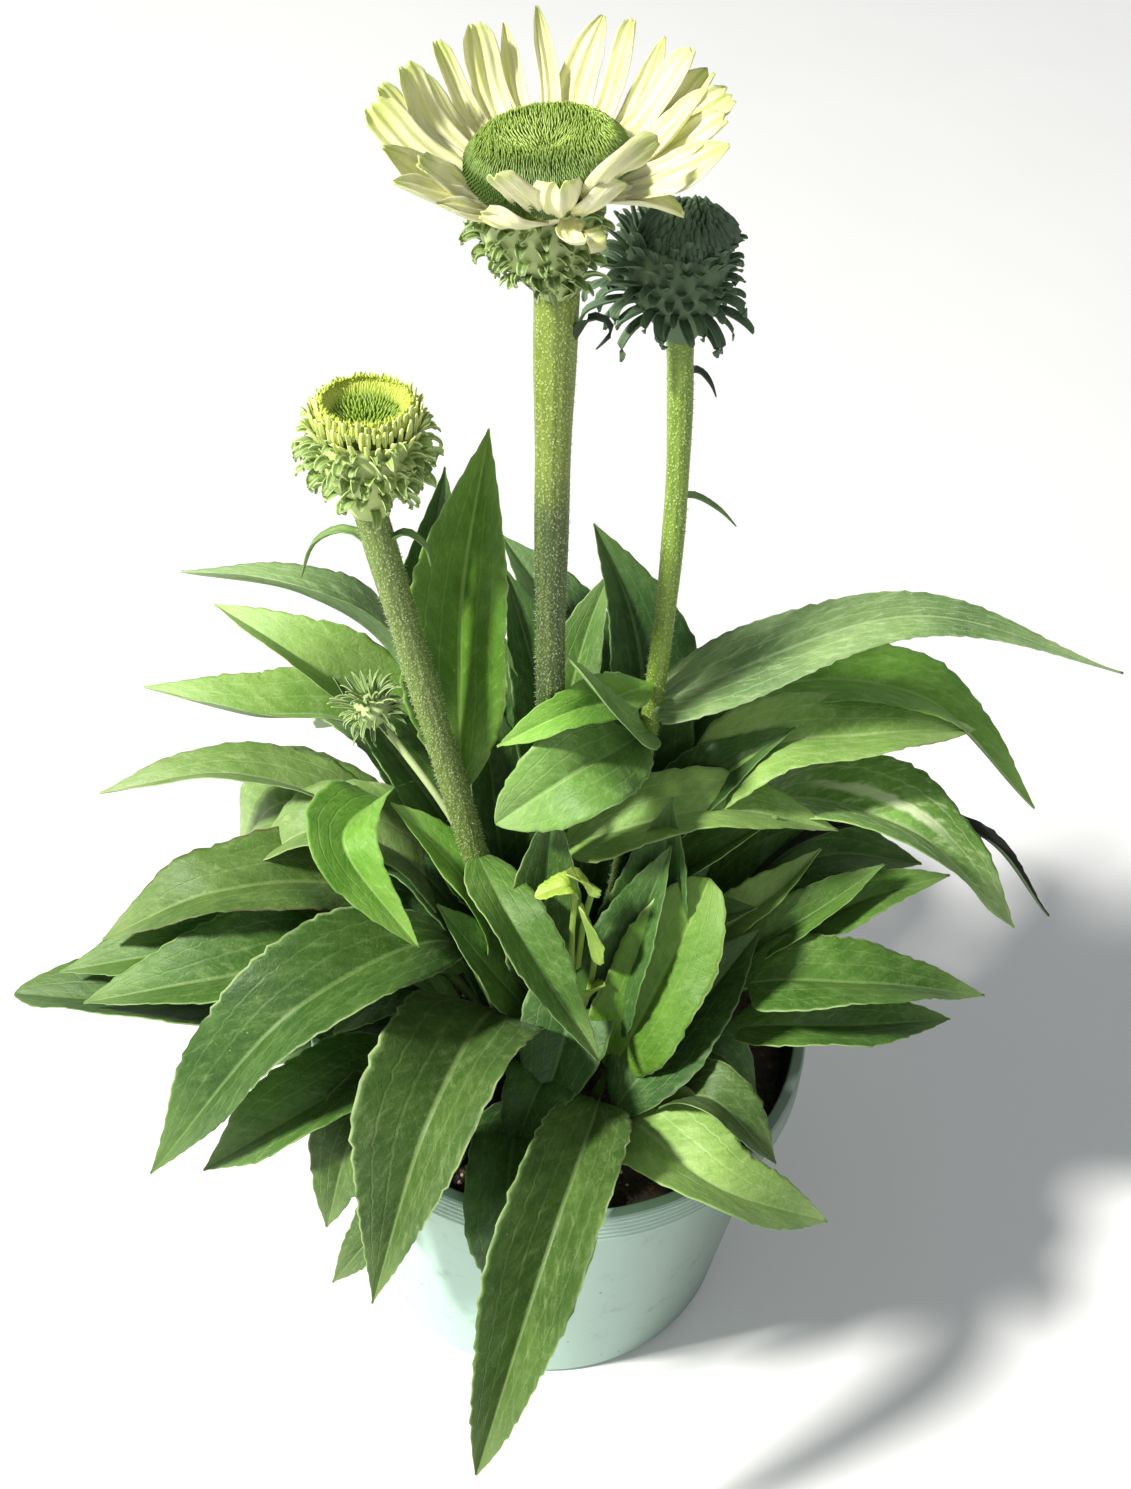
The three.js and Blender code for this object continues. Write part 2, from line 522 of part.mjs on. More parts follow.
// The point and outward tilt at share s of a profile's length, from its first point to its last.
function alongProfile(profile, s) {
  const runs = profile.slice(1).map(([r, z], i) => Math.hypot(r - profile[i][0], z - profile[i][1]));
  let left = s * runs.reduce((a, b) => a + b);
  let i = 0;
  while (i < runs.length - 1 && left > runs[i]) left -= runs[i++];
  const [r0, z0] = profile[i];
  const [r1, z1] = profile[i + 1];
  const t = left / runs[i];
  const tilt = THREE.MathUtils.radToDeg(Math.atan2(r0 - r1, z1 - z0));
  return { r: mix(r0, r1, t), z: mix(z0, z1, t), tilt };
}

const closedProfile = (profile) => {
  const [first, last] = [profile[0], profile.at(-1)];
  return [...(first[0] > 0 ? [[0, first[1]]] : []), ...profile, ...(last[0] > 0 ? [[0, last[1]]] : [])];
};

// A turned body whose side is a lattice of diamonds, each drawn out to the point of one floret. Every other
// row is set round by half a step, and the florets shrink towards the middle.
function floretSolid({ profile, around, rows, rise }, seed) {
  const random = randomSource(SEED + seed);
  const points = [];
  const faces = [];
  const add = (point) => points.push(point) - 1;
  const step = 360 / around;
  const rings = Array.from({ length: rows + 1 }, (_, k) => {
    const { r, z } = alongProfile(profile, k / rows);
    return Array.from({ length: around }, (_, j) => add(polar(r, (j + (k % 2) / 2) * step, z)));
  });
  const at = (k, j) => rings[k][(j + around) % around];
  for (let k = 0; k <= rows; k++) {
    for (let j = 0; j < around; j++) {
      const below = k > 0 ? at(k - 1, k % 2 ? j + 1 : j) : null;
      const above = k < rows ? at(k + 1, k % 2 ? j + 1 : j) : null;
      const [right, left] = [at(k, j), at(k, j + 1)];
      if (below === null || above === null) {
        faces.push(...(below === null ? [right, left, above] : [left, right, below]));
        continue;
      }
      const { r, z, tilt } = alongProfile(profile, k / rows);
      const tall = rise * (0.75 + 0.5 * random()) * mix(0.55, 1, Math.min(1, r / 14));
      const out = r + tall * Math.cos(rad(tilt));
      const tip = add(polar(out, (j + 0.5 + (k % 2) / 2) * step, z + tall * Math.sin(rad(tilt))));
      const edges = [[right, above], [above, left], [left, below], [below, right]];
      for (const [a, b] of edges) faces.push(tip, b, a);
    }
  }
  const centres = [add(vec(0, 0, profile[0][1])), add(vec(0, 0, profile.at(-1)[1]))];
  for (let j = 0; j < around; j++) {
    faces.push(centres[0], at(0, j + 1), at(0, j));
    faces.push(centres[1], at(rows, j), at(rows, j + 1));
  }
  const geometry = new THREE.BufferGeometry();
  const numbers = points.flatMap((p) => [p.x, p.y, p.z]);
  geometry.setAttribute("position", new THREE.Float32BufferAttribute(numbers, 3));
  geometry.setIndex(faces);
  return solidOf(geometry);
}

// A cup covered in rows of recurved bracts.
function bractedSolid(core, rows, seed, sides = 12) {
  const random = randomSource(SEED + seed);
  const bracts = rows.flatMap(([z, r, count, length, half, first, last]) =>
    Array.from({ length: count }, (_, i) => {
      const bearing = ((i + 0.5 * (z % 2 > 1)) * 360) / count + 8 * (random() - 0.5);
      const long = length * (0.8 + 0.4 * random());
      const end = last + 30 * (random() - 0.5);
      const steps = [[0.55 * long, first], [0.45 * long, end, 10], [0, end, 10]];
      return spike([r, z], bearing, steps, [half, 0.9 * half, 0.3], [1, 0.9, 0.5]);
    }));
  return joined([solidOf(turned(closedProfile(core), sides)), ...bracts]);
}

function budSolid() {
  const { on, from, path, stalk, axis, core, rows } = BUD;
  const way = vec(...axis).normalize();
  const curve = new THREE.CatmullRomCurve3([stemCurves[on].getPoint(from), ...path.map((p) => vec(...p))]);
  const rings = [0, 0.25, 0.5, 0.75, 1].map((t) =>
    roundRing(curve.getPointAt(t), curve.getTangentAt(t), stalk, 6));
  const turn = new THREE.Quaternion().setFromUnitVectors(UP, way);
  const end = curve.getPointAt(1).addScaledVector(way, -0.6);
  const cup = geometryOf(bractedSolid(core, rows, 207, 8)).applyQuaternion(turn);
  const bud = solidOf(loft(rings)).add(solidOf(cup.translate(end.x, end.y, end.z)));
  return bud.subtract(stemSolid(on, SEAT_GAP));
}

// ---------- the plant ----------

const plant = new THREE.Group();

function addPiece(name, solid, colour, roughness = 0.6) {
  const material = new THREE.MeshStandardMaterial({ color: colour, roughness, metalness: 0 });
  const mesh = new THREE.Mesh(geometryOf(solid), material);
  mesh.name = name;
  plant.add(mesh);
  return mesh;
}

// Sets a piece of a head on the top of its stem, turned to the way the head leans.
function addToHead(stem, name, solid, colour) {
  const axis = vec(...HEADS[stem].lean, 1).normalize();
  const mesh = addPiece(name, solid, colour);
  mesh.quaternion.setFromUnitVectors(UP, axis);
  mesh.position.copy(stemCurves[stem].v2).addScaledVector(axis, SEAT_GAP);
}

addPiece("pot", potSolid(), COLOURS.pot, 0.45);
addPiece("soil", soilSolid(), COLOURS.soil, 0.95);
for (const name of Object.keys(STEMS)) addPiece(`stem_${name}`, leafyStem(name), COLOURS.stem);
[...LEAVES.map(rosetteLeaf), ...STEM_LEAVES.map(stemLeaf)].forEach((leaf, i) =>
  addPiece(leaf.name, leafSolid(leaf, i), COLOURS.leaf));
const young = YOUNG_LEAVES.map((row, i) => leafSolid(rosetteLeaf(row), 60 + i));
addPiece("young_leaves", joined(young), COLOURS.young);
addPiece("side_bud", budSolid(), COLOURS.paleHead);

addToHead("main", "bloom_bracts", bractedSolid(HEADS.main.core, BRACTS.main, 201), COLOURS.bract);
addToHead("main", "bloom_rays", raysSolid(), COLOURS.ray);
addToHead("main", "bloom_cone", floretSolid(CONE, 202), COLOURS.cone);
addToHead("right", "dark_head", bractedSolid(HEADS.right.core, BRACTS.right, 203), COLOURS.darkHead);
addToHead("right", "dark_head_disc", floretSolid(DISCS.right, 204), COLOURS.darkHead);
addToHead("left", "pale_head", bractedSolid(HEADS.left.core, BRACTS.left, 205), COLOURS.paleHead);
addToHead("left", "pale_head_disc", floretSolid(DISCS.left, 206), COLOURS.cone);

export default plant;
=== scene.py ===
# A white-flowered coneflower in a round nursery pot: potting mix, a rosette of toothed lance-shaped leaves,
# and three hairy stems that carry one open bloom, two heads still opening and a side bud.
# Sizes in the tables are millimetres; every mesh is in metres, +Z up, from the centre of the pot's underside.
import math
import random

import bmesh
import bpy
import numpy as np
from mathutils import Matrix, Vector, noise


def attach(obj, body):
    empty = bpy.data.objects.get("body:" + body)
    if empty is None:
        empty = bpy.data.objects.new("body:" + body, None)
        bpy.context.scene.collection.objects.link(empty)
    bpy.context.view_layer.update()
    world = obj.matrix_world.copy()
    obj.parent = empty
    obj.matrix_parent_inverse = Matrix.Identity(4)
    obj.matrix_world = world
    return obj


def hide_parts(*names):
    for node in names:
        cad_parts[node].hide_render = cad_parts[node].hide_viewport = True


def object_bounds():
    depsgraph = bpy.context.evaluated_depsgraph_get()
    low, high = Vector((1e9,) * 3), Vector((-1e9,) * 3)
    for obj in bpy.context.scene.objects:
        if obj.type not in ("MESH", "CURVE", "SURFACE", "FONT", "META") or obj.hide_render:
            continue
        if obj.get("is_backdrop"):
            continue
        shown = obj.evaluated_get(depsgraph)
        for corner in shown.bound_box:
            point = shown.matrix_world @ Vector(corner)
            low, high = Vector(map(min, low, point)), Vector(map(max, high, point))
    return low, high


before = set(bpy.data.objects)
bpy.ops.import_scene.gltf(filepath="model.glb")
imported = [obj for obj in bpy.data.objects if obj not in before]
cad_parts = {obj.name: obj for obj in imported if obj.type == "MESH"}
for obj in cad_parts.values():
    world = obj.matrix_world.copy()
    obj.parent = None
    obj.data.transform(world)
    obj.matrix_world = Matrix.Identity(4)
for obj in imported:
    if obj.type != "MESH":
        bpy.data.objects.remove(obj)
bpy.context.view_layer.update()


# ---------------------------------------------------------------- standpoint, floor and light
# A standing viewer looks down on the plant from the front, with the head tipped a little to one side.
# The plant stands on a plain pale floor, under one window light from the left, a weak broad one from the
# front, a weaker one from behind and a pale sky.
eye_mm, look_down, tip_sideways, view_height = (-4, -412, 624), 43.0, 4.1, 42.0
down, tipped = math.radians(look_down), math.radians(tip_sideways)
ahead = Vector((0, math.cos(down), -math.sin(down)))
level_right, level_up = Vector((1, 0, 0)), Vector((0, math.sin(down), math.cos(down)))
right = level_right * math.cos(tipped) + level_up * math.sin(tipped)
up = level_up * math.cos(tipped) - level_right * math.sin(tipped)
film = 36
lens = bpy.data.cameras.new("viewer")
lens.sensor_width, lens.lens = film, film / 2 / math.tan(math.radians(view_height / 2))
lens.clip_start, lens.clip_end = 0.01, 50
viewer = bpy.data.objects.new("viewer", lens)
viewer.matrix_world = Matrix((
    (*(right[0], up[0], -ahead[0]), eye_mm[0] / 1000),
    (*(right[1], up[1], -ahead[1]), eye_mm[1] / 1000),
    (*(right[2], up[2], -ahead[2]), eye_mm[2] / 1000),
    (0, 0, 0, 1),
))
bpy.context.scene.collection.objects.link(viewer)
bpy.context.scene.camera = viewer


class Finish:
    """One material: its shader's constants, and the patterns that its colours are mixed from."""

    def __init__(self, name, roughness, **constants):
        self.material = bpy.data.materials.new(name)
        self.material.use_nodes = True
        self.nodes, self.links = self.material.node_tree.nodes, self.material.node_tree.links
        self.shader = self.nodes["Principled BSDF"]
        self.shader.inputs["Roughness"].default_value = roughness
        for label, value in constants.items():
            self.shader.inputs[label.replace("_", " ")].default_value = value
        self.place = self.nodes.new("ShaderNodeTexCoord").outputs["Object"]

    def add(self, kind, inputs, **settings):
        node = self.nodes.new(kind)
        for key, value in settings.items():
            setattr(node, key, value)
        for key, value in inputs.items():
            if isinstance(value, bpy.types.NodeSocket):
                self.links.new(value, node.inputs[key])
            else:
                node.inputs[key].default_value = value
        return node

    def maths(self, operation, a, b=0.0):
        return self.add("ShaderNodeMath", {0: a, 1: b}, operation=operation).outputs[0]

    def times(self, a, b):
        return self.maths("MULTIPLY", a, b)

    def rest(self, share):
        """What a share leaves of 1."""
        return self.maths("SUBTRACT", 1.0, share)

    def rise(self, value, low, high):
        """0 below low, 1 above high and smooth between."""
        return self.add("ShaderNodeMapRange", {"Value": value, "From Min": low, "From Max": high},
                        interpolation_type="SMOOTHSTEP").outputs["Result"]

    def line(self, value, at, inner, outer):
        """1 within inner of at, 0 beyond outer."""
        off = self.maths("ABSOLUTE", self.maths("SUBTRACT", value, at))
        return self.rest(self.rise(off, inner, outer))

    def place_xyz(self):
        """The X, Y and Z of a place on the object, in metres."""
        return self.add("ShaderNodeSeparateXYZ", {"Vector": self.place}).outputs

    def blade_place(self):
        """Shares of the way across and along a leaf, bract or ray, from edge to edge and from foot to tip."""
        spot = self.add("ShaderNodeUVMap", {}, uv_map="blade").outputs["UV"]
        shares = self.add("ShaderNodeSeparateXYZ", {"Vector": spot}).outputs
        return shares["X"], shares["Y"]

    def off_rib(self, across):
        """How far off the rib: 0 on it and 1 at either edge."""
        return self.times(self.maths("ABSOLUTE", self.maths("SUBTRACT", across, 0.5)), 2.0)

    def carried(self, label):
        """A number that the mesh carries under that name."""
        return self.add("ShaderNodeAttribute", {}, attribute_name=label).outputs["Fac"]

    def stretched(self, x, y, z):
        return self.add("ShaderNodeMapping", {"Vector": self.place, "Scale": (x, y, z)}).outputs["Vector"]

    def cloud(self, scale, detail=3.0, where=None, rough=0.5):
        return self.add("ShaderNodeTexNoise", {"Vector": where or self.place, "Scale": scale,
                                               "Detail": detail, "Roughness": rough}).outputs["Fac"]

    def cells(self, scale, feature="F1", where=None):
        return self.add("ShaderNodeTexVoronoi", {"Vector": where or self.place, "Scale": scale},
                        feature=feature).outputs["Distance"]

    def blend(self, share, a, b):
        node = self.add("ShaderNodeMix", {0: share}, data_type="RGBA")
        for socket, colour in ((node.inputs[6], a), (node.inputs[7], b)):
            if isinstance(colour, bpy.types.NodeSocket):
                self.links.new(colour, socket)
            else:
                socket.default_value = (*colour, 1)
        return node.outputs[2]

    def coloured(self, colour):
        self.links.new(colour, self.shader.inputs["Base Color"])

    def bumped(self, height, depth_mm, strength=1.0):
        node = self.add("ShaderNodeBump", {"Height": height, "Distance": depth_mm / 1000,
                                           "Strength": strength})
        self.links.new(node.outputs["Normal"], self.shader.inputs["Normal"])

    def dulled(self, share, smooth, rough):
        node = self.add("ShaderNodeMapRange", {"Value": share, "To Min": smooth, "To Max": rough})
        self.links.new(node.outputs["Result"], self.shader.inputs["Roughness"])


floor_half, floor_level = 4, -0.0004
floor_corners = [(x * floor_half, y * floor_half, floor_level)
                 for x, y in ((-1, -1), (1, -1), (1, 1), (-1, 1))]
floor_mesh = bpy.data.meshes.new("floor")
floor_mesh.from_pydata(floor_corners, [], [(0, 1, 2, 3)])
floor = bpy.data.objects.new("floor", floor_mesh)
bpy.context.scene.collection.objects.link(floor)
floor_finish = Finish("pale_floor", 0.85)
floor_finish.coloured(floor_finish.blend(floor_finish.cloud(9), (0.80, 0.80, 0.80), (0.84, 0.84, 0.84)))
floor_mesh.materials.append(floor_finish.material)
floor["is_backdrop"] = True

sky = bpy.data.worlds.new("pale_sky")
sky.use_nodes = True
sky.node_tree.nodes["Background"].inputs["Color"].default_value = (0.93, 0.97, 1.0, 1)
sky.node_tree.nodes["Background"].inputs["Strength"].default_value = 0.26
bpy.context.scene.world = sky
bpy.context.scene.view_settings.view_transform = "Standard"

lamps_aim_at = Vector((0, 0, 0.2))
for lamp_name, at, wide, watts, tint in (
    ("window_light", (-2.25, -0.95, 2.35), 0.40, 195, (1.0, 0.98, 0.93)),
    ("front_light", (0.8, -2.4, 1.7), 1.6, 13, (0.97, 0.99, 1.0)),
    ("back_light", (1.2, 1.6, 1.6), 1.6, 6, (0.95, 0.98, 1.0)),
):
    lamp = bpy.data.lights.new(lamp_name, "AREA")
    lamp.shape, lamp.size, lamp.energy, lamp.color = "DISK", wide, watts, tint
    lamp_holder = bpy.data.objects.new(lamp_name, lamp)
    lamp_holder.location = at
    lamp_holder.rotation_euler = (lamps_aim_at - Vector(at)).to_track_quat("-Z", "Y").to_euler()
    bpy.context.scene.collection.objects.link(lamp_holder)


# ---------------------------------------------------------------- nursery pot
# A round one-gallon pot, injection moulded in thin pale teal plastic with a black inside. Its lip is turned
# out and finely ridged, and it stands on a flat middle and an outer ring, with drain holes between them. Its
# wall is smeared with dried mix, and its right side is painted darker as shade.
pot_height, rim_radius, base_radius, pot_wall = 120, 82.5, 65, 1.6
lip_height, lip_out, lip_ridges = 13, 2.6, 5
channel, channel_start, channel_end = 2.5, 34, 54
drain_holes, drain_radius, drain_ring = 6, 5, 44
pot_sides = 160


def wall_radius(z):
    return base_radius + (rim_radius - lip_out - base_radius) * z / pot_height


def turned(profile, sides):
    """A closed body turned about Z from a profile of (radius, height) that starts and ends on the axis."""
    verts, rings, faces = [], [], []
    for r, z in profile:
        if r == 0:
            verts.append((0, 0, z / 1000))
            rings.append([len(verts) - 1] * sides)
            continue
        rings.append(range(len(verts), len(verts) + sides))
        for k in range(sides):
            a = 2 * math.pi * k / sides
            verts.append((r * math.cos(a) / 1000, r * math.sin(a) / 1000, z / 1000))
    for low, high in zip(rings, rings[1:]):
        for k in range(sides):
            n = (k + 1) % sides
            corners = [low[k], low[n], high[n], high[k]]
            faces.append([c for i, c in enumerate(corners) if c not in corners[:i]])
    return verts, faces


def plain_mesh(name, verts, faces, *materials):
    mesh = bpy.data.meshes.new(name)
    mesh.from_pydata([tuple(v) for v in verts], [], faces)
    for material in materials:
        mesh.materials.append(material)
    mesh.polygons.foreach_set("use_smooth", [True] * len(mesh.polygons))
    return mesh


def set_up(name, mesh):
    obj = bpy.data.objects.new(name, mesh)
    bpy.context.scene.collection.objects.link(obj)
    return obj


def settled(obj):
    """The object with its modifiers worked into a plain mesh."""
    bpy.context.view_layer.update()
    mesh = bpy.data.meshes.new_from_object(obj.evaluated_get(bpy.context.evaluated_depsgraph_get()))
    obj.modifiers.clear()
    obj.data = mesh
    return obj


def belongs(obj, slot, *nodes):
    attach(obj, "root")
    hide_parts(*nodes)
    return obj


lip_foot = pot_height - lip_height
outside = [(0, 0), (20, 0), (channel_start, 0), (channel_start + 1, 1.3), (channel_start + 2, channel),
           (drain_ring, channel), (channel_end - 2, channel), (channel_end - 1, 1.3), (channel_end, 0),
           (62.8, 0), (64, 0.4), (wall_radius(1.6), 1.6)]
outside += [(wall_radius(z), z) for z in (2.2, 12, 30, 50, 70, 90, 102, 103)]
outside += [(wall_radius(103.6) + 0.35, 103.6), (wall_radius(104.4) + 0.35, 104.4), (wall_radius(105), 105),
            (wall_radius(106.6), 106.6), (wall_radius(lip_foot) + 0.8, lip_foot),
            (rim_radius - 0.5, lip_foot + 0.3)]
for ridge in range(lip_ridges):
    z = lip_foot + 1 + 2.15 * ridge
    outside += [(rim_radius - 0.35, z), (rim_radius, z + 0.5), (rim_radius, z + 1.2),
                (rim_radius - 0.35, z + 1.7)]
outside += [(rim_radius - 0.2, pot_height - 0.9), (rim_radius - 0.7, pot_height - 0.2),
            (rim_radius - 1.4, pot_height)]
inside = [(wall_radius(pot_height) - pot_wall + 0.5, pot_height),
          (wall_radius(pot_height) - pot_wall, pot_height - 0.5)]
inside += [(wall_radius(z) - pot_wall, z) for z in (112, 90, 60, 30, 6)]
inside += [(wall_radius(4.5) - pot_wall - 1, 4.5), (drain_ring, 4.5), (channel_start, 4.5),
           (channel_start - 1, 3.2), (channel_start - 2, 2), (0, 2)]

teal = Finish("pale_teal_plastic", 0.42, Specular_IOR_Level=0.45)
smears = teal.cloud(26, 4, teal.stretched(1, 1, 0.45))
teal_colour = teal.blend(smears, (0.42, 0.62, 0.52), (0.54, 0.75, 0.63))
grime = teal.rise(teal.cloud(75, 6, rough=0.7), 0.54, 0.74)
teal_colour = teal.blend(teal.times(grime, 0.42), teal_colour, (0.27, 0.32, 0.28))
# Painted shade: the wall turns darker towards the right, standing for the shade on that side of the pot.
ragged_x = teal.maths("ADD", teal.place_xyz()["X"], teal.times(smears, 0.015))
painted_shade_right = teal.rise(ragged_x, 0.0, 0.074)
teal_colour = teal.blend(teal.times(painted_shade_right, 0.82), teal_colour, (0.11, 0.14, 0.115))
speck = teal.times(teal.line(teal.cells(160), 0.0, 0.05, 0.12),
                   teal.rise(teal.cloud(38), 0.52, 0.62))
teal_colour = teal.blend(teal.times(speck, 0.8), teal_colour, (0.10, 0.09, 0.06))
teal.coloured(teal_colour)
teal.bumped(teal.cloud(900, 2), 0.05, 0.5)
teal.dulled(teal.maths("ADD", grime, teal.times(smears, 0.5)), 0.36, 0.62)

black_inside = Finish("black_inside_plastic", 0.5)
dust = black_inside.rise(black_inside.cloud(240, 5, rough=0.7), 0.56, 0.72)
dust_share = black_inside.times(dust, 0.5)
black_inside.coloured(black_inside.blend(dust_share, (0.010, 0.022, 0.022), (0.10, 0.12, 0.10)))
black_inside.bumped(black_inside.cloud(500, 3), 0.08, 0.6)

verts, faces = turned(outside + inside, pot_sides)
pot_mesh = plain_mesh("nursery_pot", verts, faces, teal.material, black_inside.material)
first_inside = (len(outside) + 1) * pot_sides
pot_mesh.polygons.foreach_set("material_index", [int(i >= first_inside) for i in range(len(faces))])
nursery_pot = set_up("nursery_pot", pot_mesh)

drill_verts, drill_faces = turned([(0, -8), (drain_radius, -8), (drain_radius, 12), (0, 12)], 32)
drain_verts, drain_faces = [], []
for k in range(drain_holes):
    bearing = math.radians(360 / drain_holes * k)
    middle = Vector((drain_ring * math.cos(bearing), drain_ring * math.sin(bearing), 0))
    drain_faces += [[i + len(drain_verts) for i in face] for face in drill_faces]
    drain_verts += [Vector(p) + middle / 1000 for p in drill_verts]
drains = set_up("drains", plain_mesh("drains", drain_verts, drain_faces))
cut = nursery_pot.modifiers.new("drain_holes", "BOOLEAN")
cut.object, cut.operation, cut.solver = drains, "DIFFERENCE", "EXACT"
settled(nursery_pot)
bpy.data.objects.remove(drains)
nursery_pot.data.set_sharp_from_angle(angle=math.radians(35))
belongs(nursery_pot, "pot_plastic", "pot")


# ---------------------------------------------------------------- potting mix
# Dark brown peat that fills the pot to 12 mm under its rim, domed round the crown of the plant. Bark crumbs
# and pale perlite grains lie scattered over it.
soil_top, soil_dome, soil_gap, soil_sides, soil_rings = 108, 3, 0.3, 96, 34


def soil_height(x, y):
    r = math.hypot(x, y) / 78
    lumps = noise.noise(Vector((x / 9, y / 9, 3.1))) * 1.3 + noise.noise(Vector((x / 3, y / 3, 7.7))) * 0.6
    return soil_top - soil_dome * r * r + lumps * min(1, 6 * (1.02 - r))


soil_reach = wall_radius(105) - pot_wall - soil_gap
soil_verts, soil_faces = turned([(0, 2.3), (29, 2.3), (31, 4.8), (wall_radius(4.8) - 2.4, 4.8),
                                 (wall_radius(60) - 1.9, 60), (wall_radius(101) - 1.9, 101)]
                                + [(soil_reach * (1 - k / soil_rings), 0) for k in range(soil_rings)]
                                + [(0, 0)], soil_sides)
soil_verts = [v if v[2] > 0.001 else (v[0], v[1], soil_height(v[0] * 1000, v[1] * 1000) / 1000)
              for v in soil_verts]

peat = Finish("brown_peat", 0.95)
peat_colour = peat.blend(peat.cloud(220, 6, rough=0.7), (0.014, 0.010, 0.007), (0.11, 0.078, 0.055))
peat.coloured(peat.blend(peat.rise(peat.cloud(700, 2), 0.66, 0.74), peat_colour, (0.22, 0.16, 0.11)))
peat.bumped(peat.cloud(520, 6, rough=0.75), 1.2, 0.9)
soil_mesh = plain_mesh("potting_mix", soil_verts, soil_faces, peat.material)
belongs(set_up("potting_mix", soil_mesh), "potting_mix", "soil")

crumb_finish = Finish("bark_crumb", 0.9)
crumb_colour = crumb_finish.blend(crumb_finish.carried("shade"), (0.018, 0.010, 0.006), (0.17, 0.10, 0.06))
crumb_finish.coloured(crumb_finish.blend(crumb_finish.cloud(600, 3), crumb_colour, (0.06, 0.035, 0.02)))
crumb_finish.bumped(crumb_finish.cloud(900, 4), 0.3, 0.8)
grain_finish = Finish("perlite_grain", 0.85)
grain_finish.coloured(grain_finish.blend(grain_finish.cloud(500, 4), (0.42, 0.38, 0.33), (0.80, 0.77, 0.70)))
grain_finish.bumped(grain_finish.cloud(1500, 3), 0.15, 0.8)


class Tree:
    """A Geometry Nodes tree with named inputs, built node by node."""

    def __init__(self, name, **inputs):
        self.group = bpy.data.node_groups.new(name, "GeometryNodeTree")
        self.sockets = {}
        self.group.interface.new_socket("Geometry", in_out="INPUT", socket_type="NodeSocketGeometry")
        for label, (kind, value) in inputs.items():
            socket = self.group.interface.new_socket(label, in_out="INPUT", socket_type="NodeSocket" + kind)
            if value is not None:
                socket.default_value = value
            self.sockets[label] = socket.identifier
        self.group.interface.new_socket("Geometry", in_out="OUTPUT", socket_type="NodeSocketGeometry")
        self.start = self.group.nodes.new("NodeGroupInput")
        self.end = self.group.nodes.new("NodeGroupOutput")

    def given(self, label):
        return self.start.outputs[label]

    def add(self, kind, inputs, **settings):
        node = self.group.nodes.new(kind)
        for key, value in settings.items():
            setattr(node, key, value)
        for key, value in inputs.items():
            if isinstance(value, bpy.types.NodeSocket):
                self.group.links.new(value, node.inputs[key])
            else:
                node.inputs[key].default_value = value
        return node

    def maths(self, operation, a, b=0.0):
        return self.add("ShaderNodeMath", {0: a, 1: b}, operation=operation).outputs[0]

    def vectors(self, operation, a, b):
        return self.add("ShaderNodeVectorMath", {0: a, 1: b}, operation=operation).outputs["Vector"]

    def random(self, low, high, seed_shift, seed):
        node = self.add("FunctionNodeRandomValue", {}, data_type="FLOAT")
        floats = [s for s in node.inputs if s.type == "VALUE"]
        for socket, value in zip(floats, (low, high)):
            if isinstance(value, bpy.types.NodeSocket):
                self.group.links.new(value, socket)
            else:
                socket.default_value = value
        self.group.links.new(self.maths("ADD", seed, seed_shift), node.inputs["Seed"])
        return next(s for s in node.outputs if s.type == "VALUE" and s.enabled)

    def finish(self, instances):
        real = self.add("GeometryNodeRealizeInstances", {"Geometry": instances}).outputs["Geometry"]
        done = self.add("GeometryNodeSetMaterial", {"Geometry": real, "Material": self.given("Material")})
        self.group.links.new(done.outputs["Geometry"], self.end.inputs["Geometry"])

    def used_on(self, obj, **values):
        modifier = obj.modifiers.new(self.group.name, "NODES")
        modifier.node_group = self.group
        for label, value in values.items():
            modifier[self.sockets[label]] = value
        return settled(obj)


# Lays one small shape all over a surface, each turned and sized at random and leaning off the surface.
sown = Tree("sown", Shape=("Object", None), Density=("Float", 1e5), Smallest=("Float", 0.5),
            Largest=("Float", 1.0), Tilt=("Float", 3.1), Seed=("Int", 1), Material=("Material", None))
points = sown.add("GeometryNodeDistributePointsOnFaces",
                  {"Mesh": sown.given("Geometry"), "Density": sown.given("Density"),
                   "Seed": sown.given("Seed")}, distribute_method="RANDOM")
shape = sown.add("GeometryNodeObjectInfo", {"Object": sown.given("Shape")})
lean_low = sown.maths("MULTIPLY", sown.given("Tilt"), -1.0)
lean = sown.add("ShaderNodeCombineXYZ", {
    "X": sown.random(lean_low, sown.given("Tilt"), 3, sown.given("Seed")),
    "Y": sown.random(lean_low, sown.given("Tilt"), 5, sown.given("Seed")),
    "Z": sown.random(0.0, 6.28, 9, sown.given("Seed"))})
turn = sown.add("FunctionNodeRotateRotation", {"Rotation": points.outputs["Rotation"],
                                              "Rotate By": lean.outputs["Vector"]}, rotation_space="LOCAL")
planted = sown.add("GeometryNodeInstanceOnPoints", {
    "Points": points.outputs["Points"], "Instance": shape.outputs["Geometry"],
    "Rotation": turn.outputs["Rotation"],
    "Scale": sown.random(sown.given("Smallest"), sown.given("Largest"), 13, sown.given("Seed"))})
shaded = sown.add("GeometryNodeStoreNamedAttribute", {
    "Geometry": planted.outputs["Instances"], "Name": "shade",
    "Value": sown.random(0.0, 1.0, 17, sown.given("Seed"))}, data_type="FLOAT", domain="INSTANCE")
sown.finish(shaded.outputs["Geometry"])


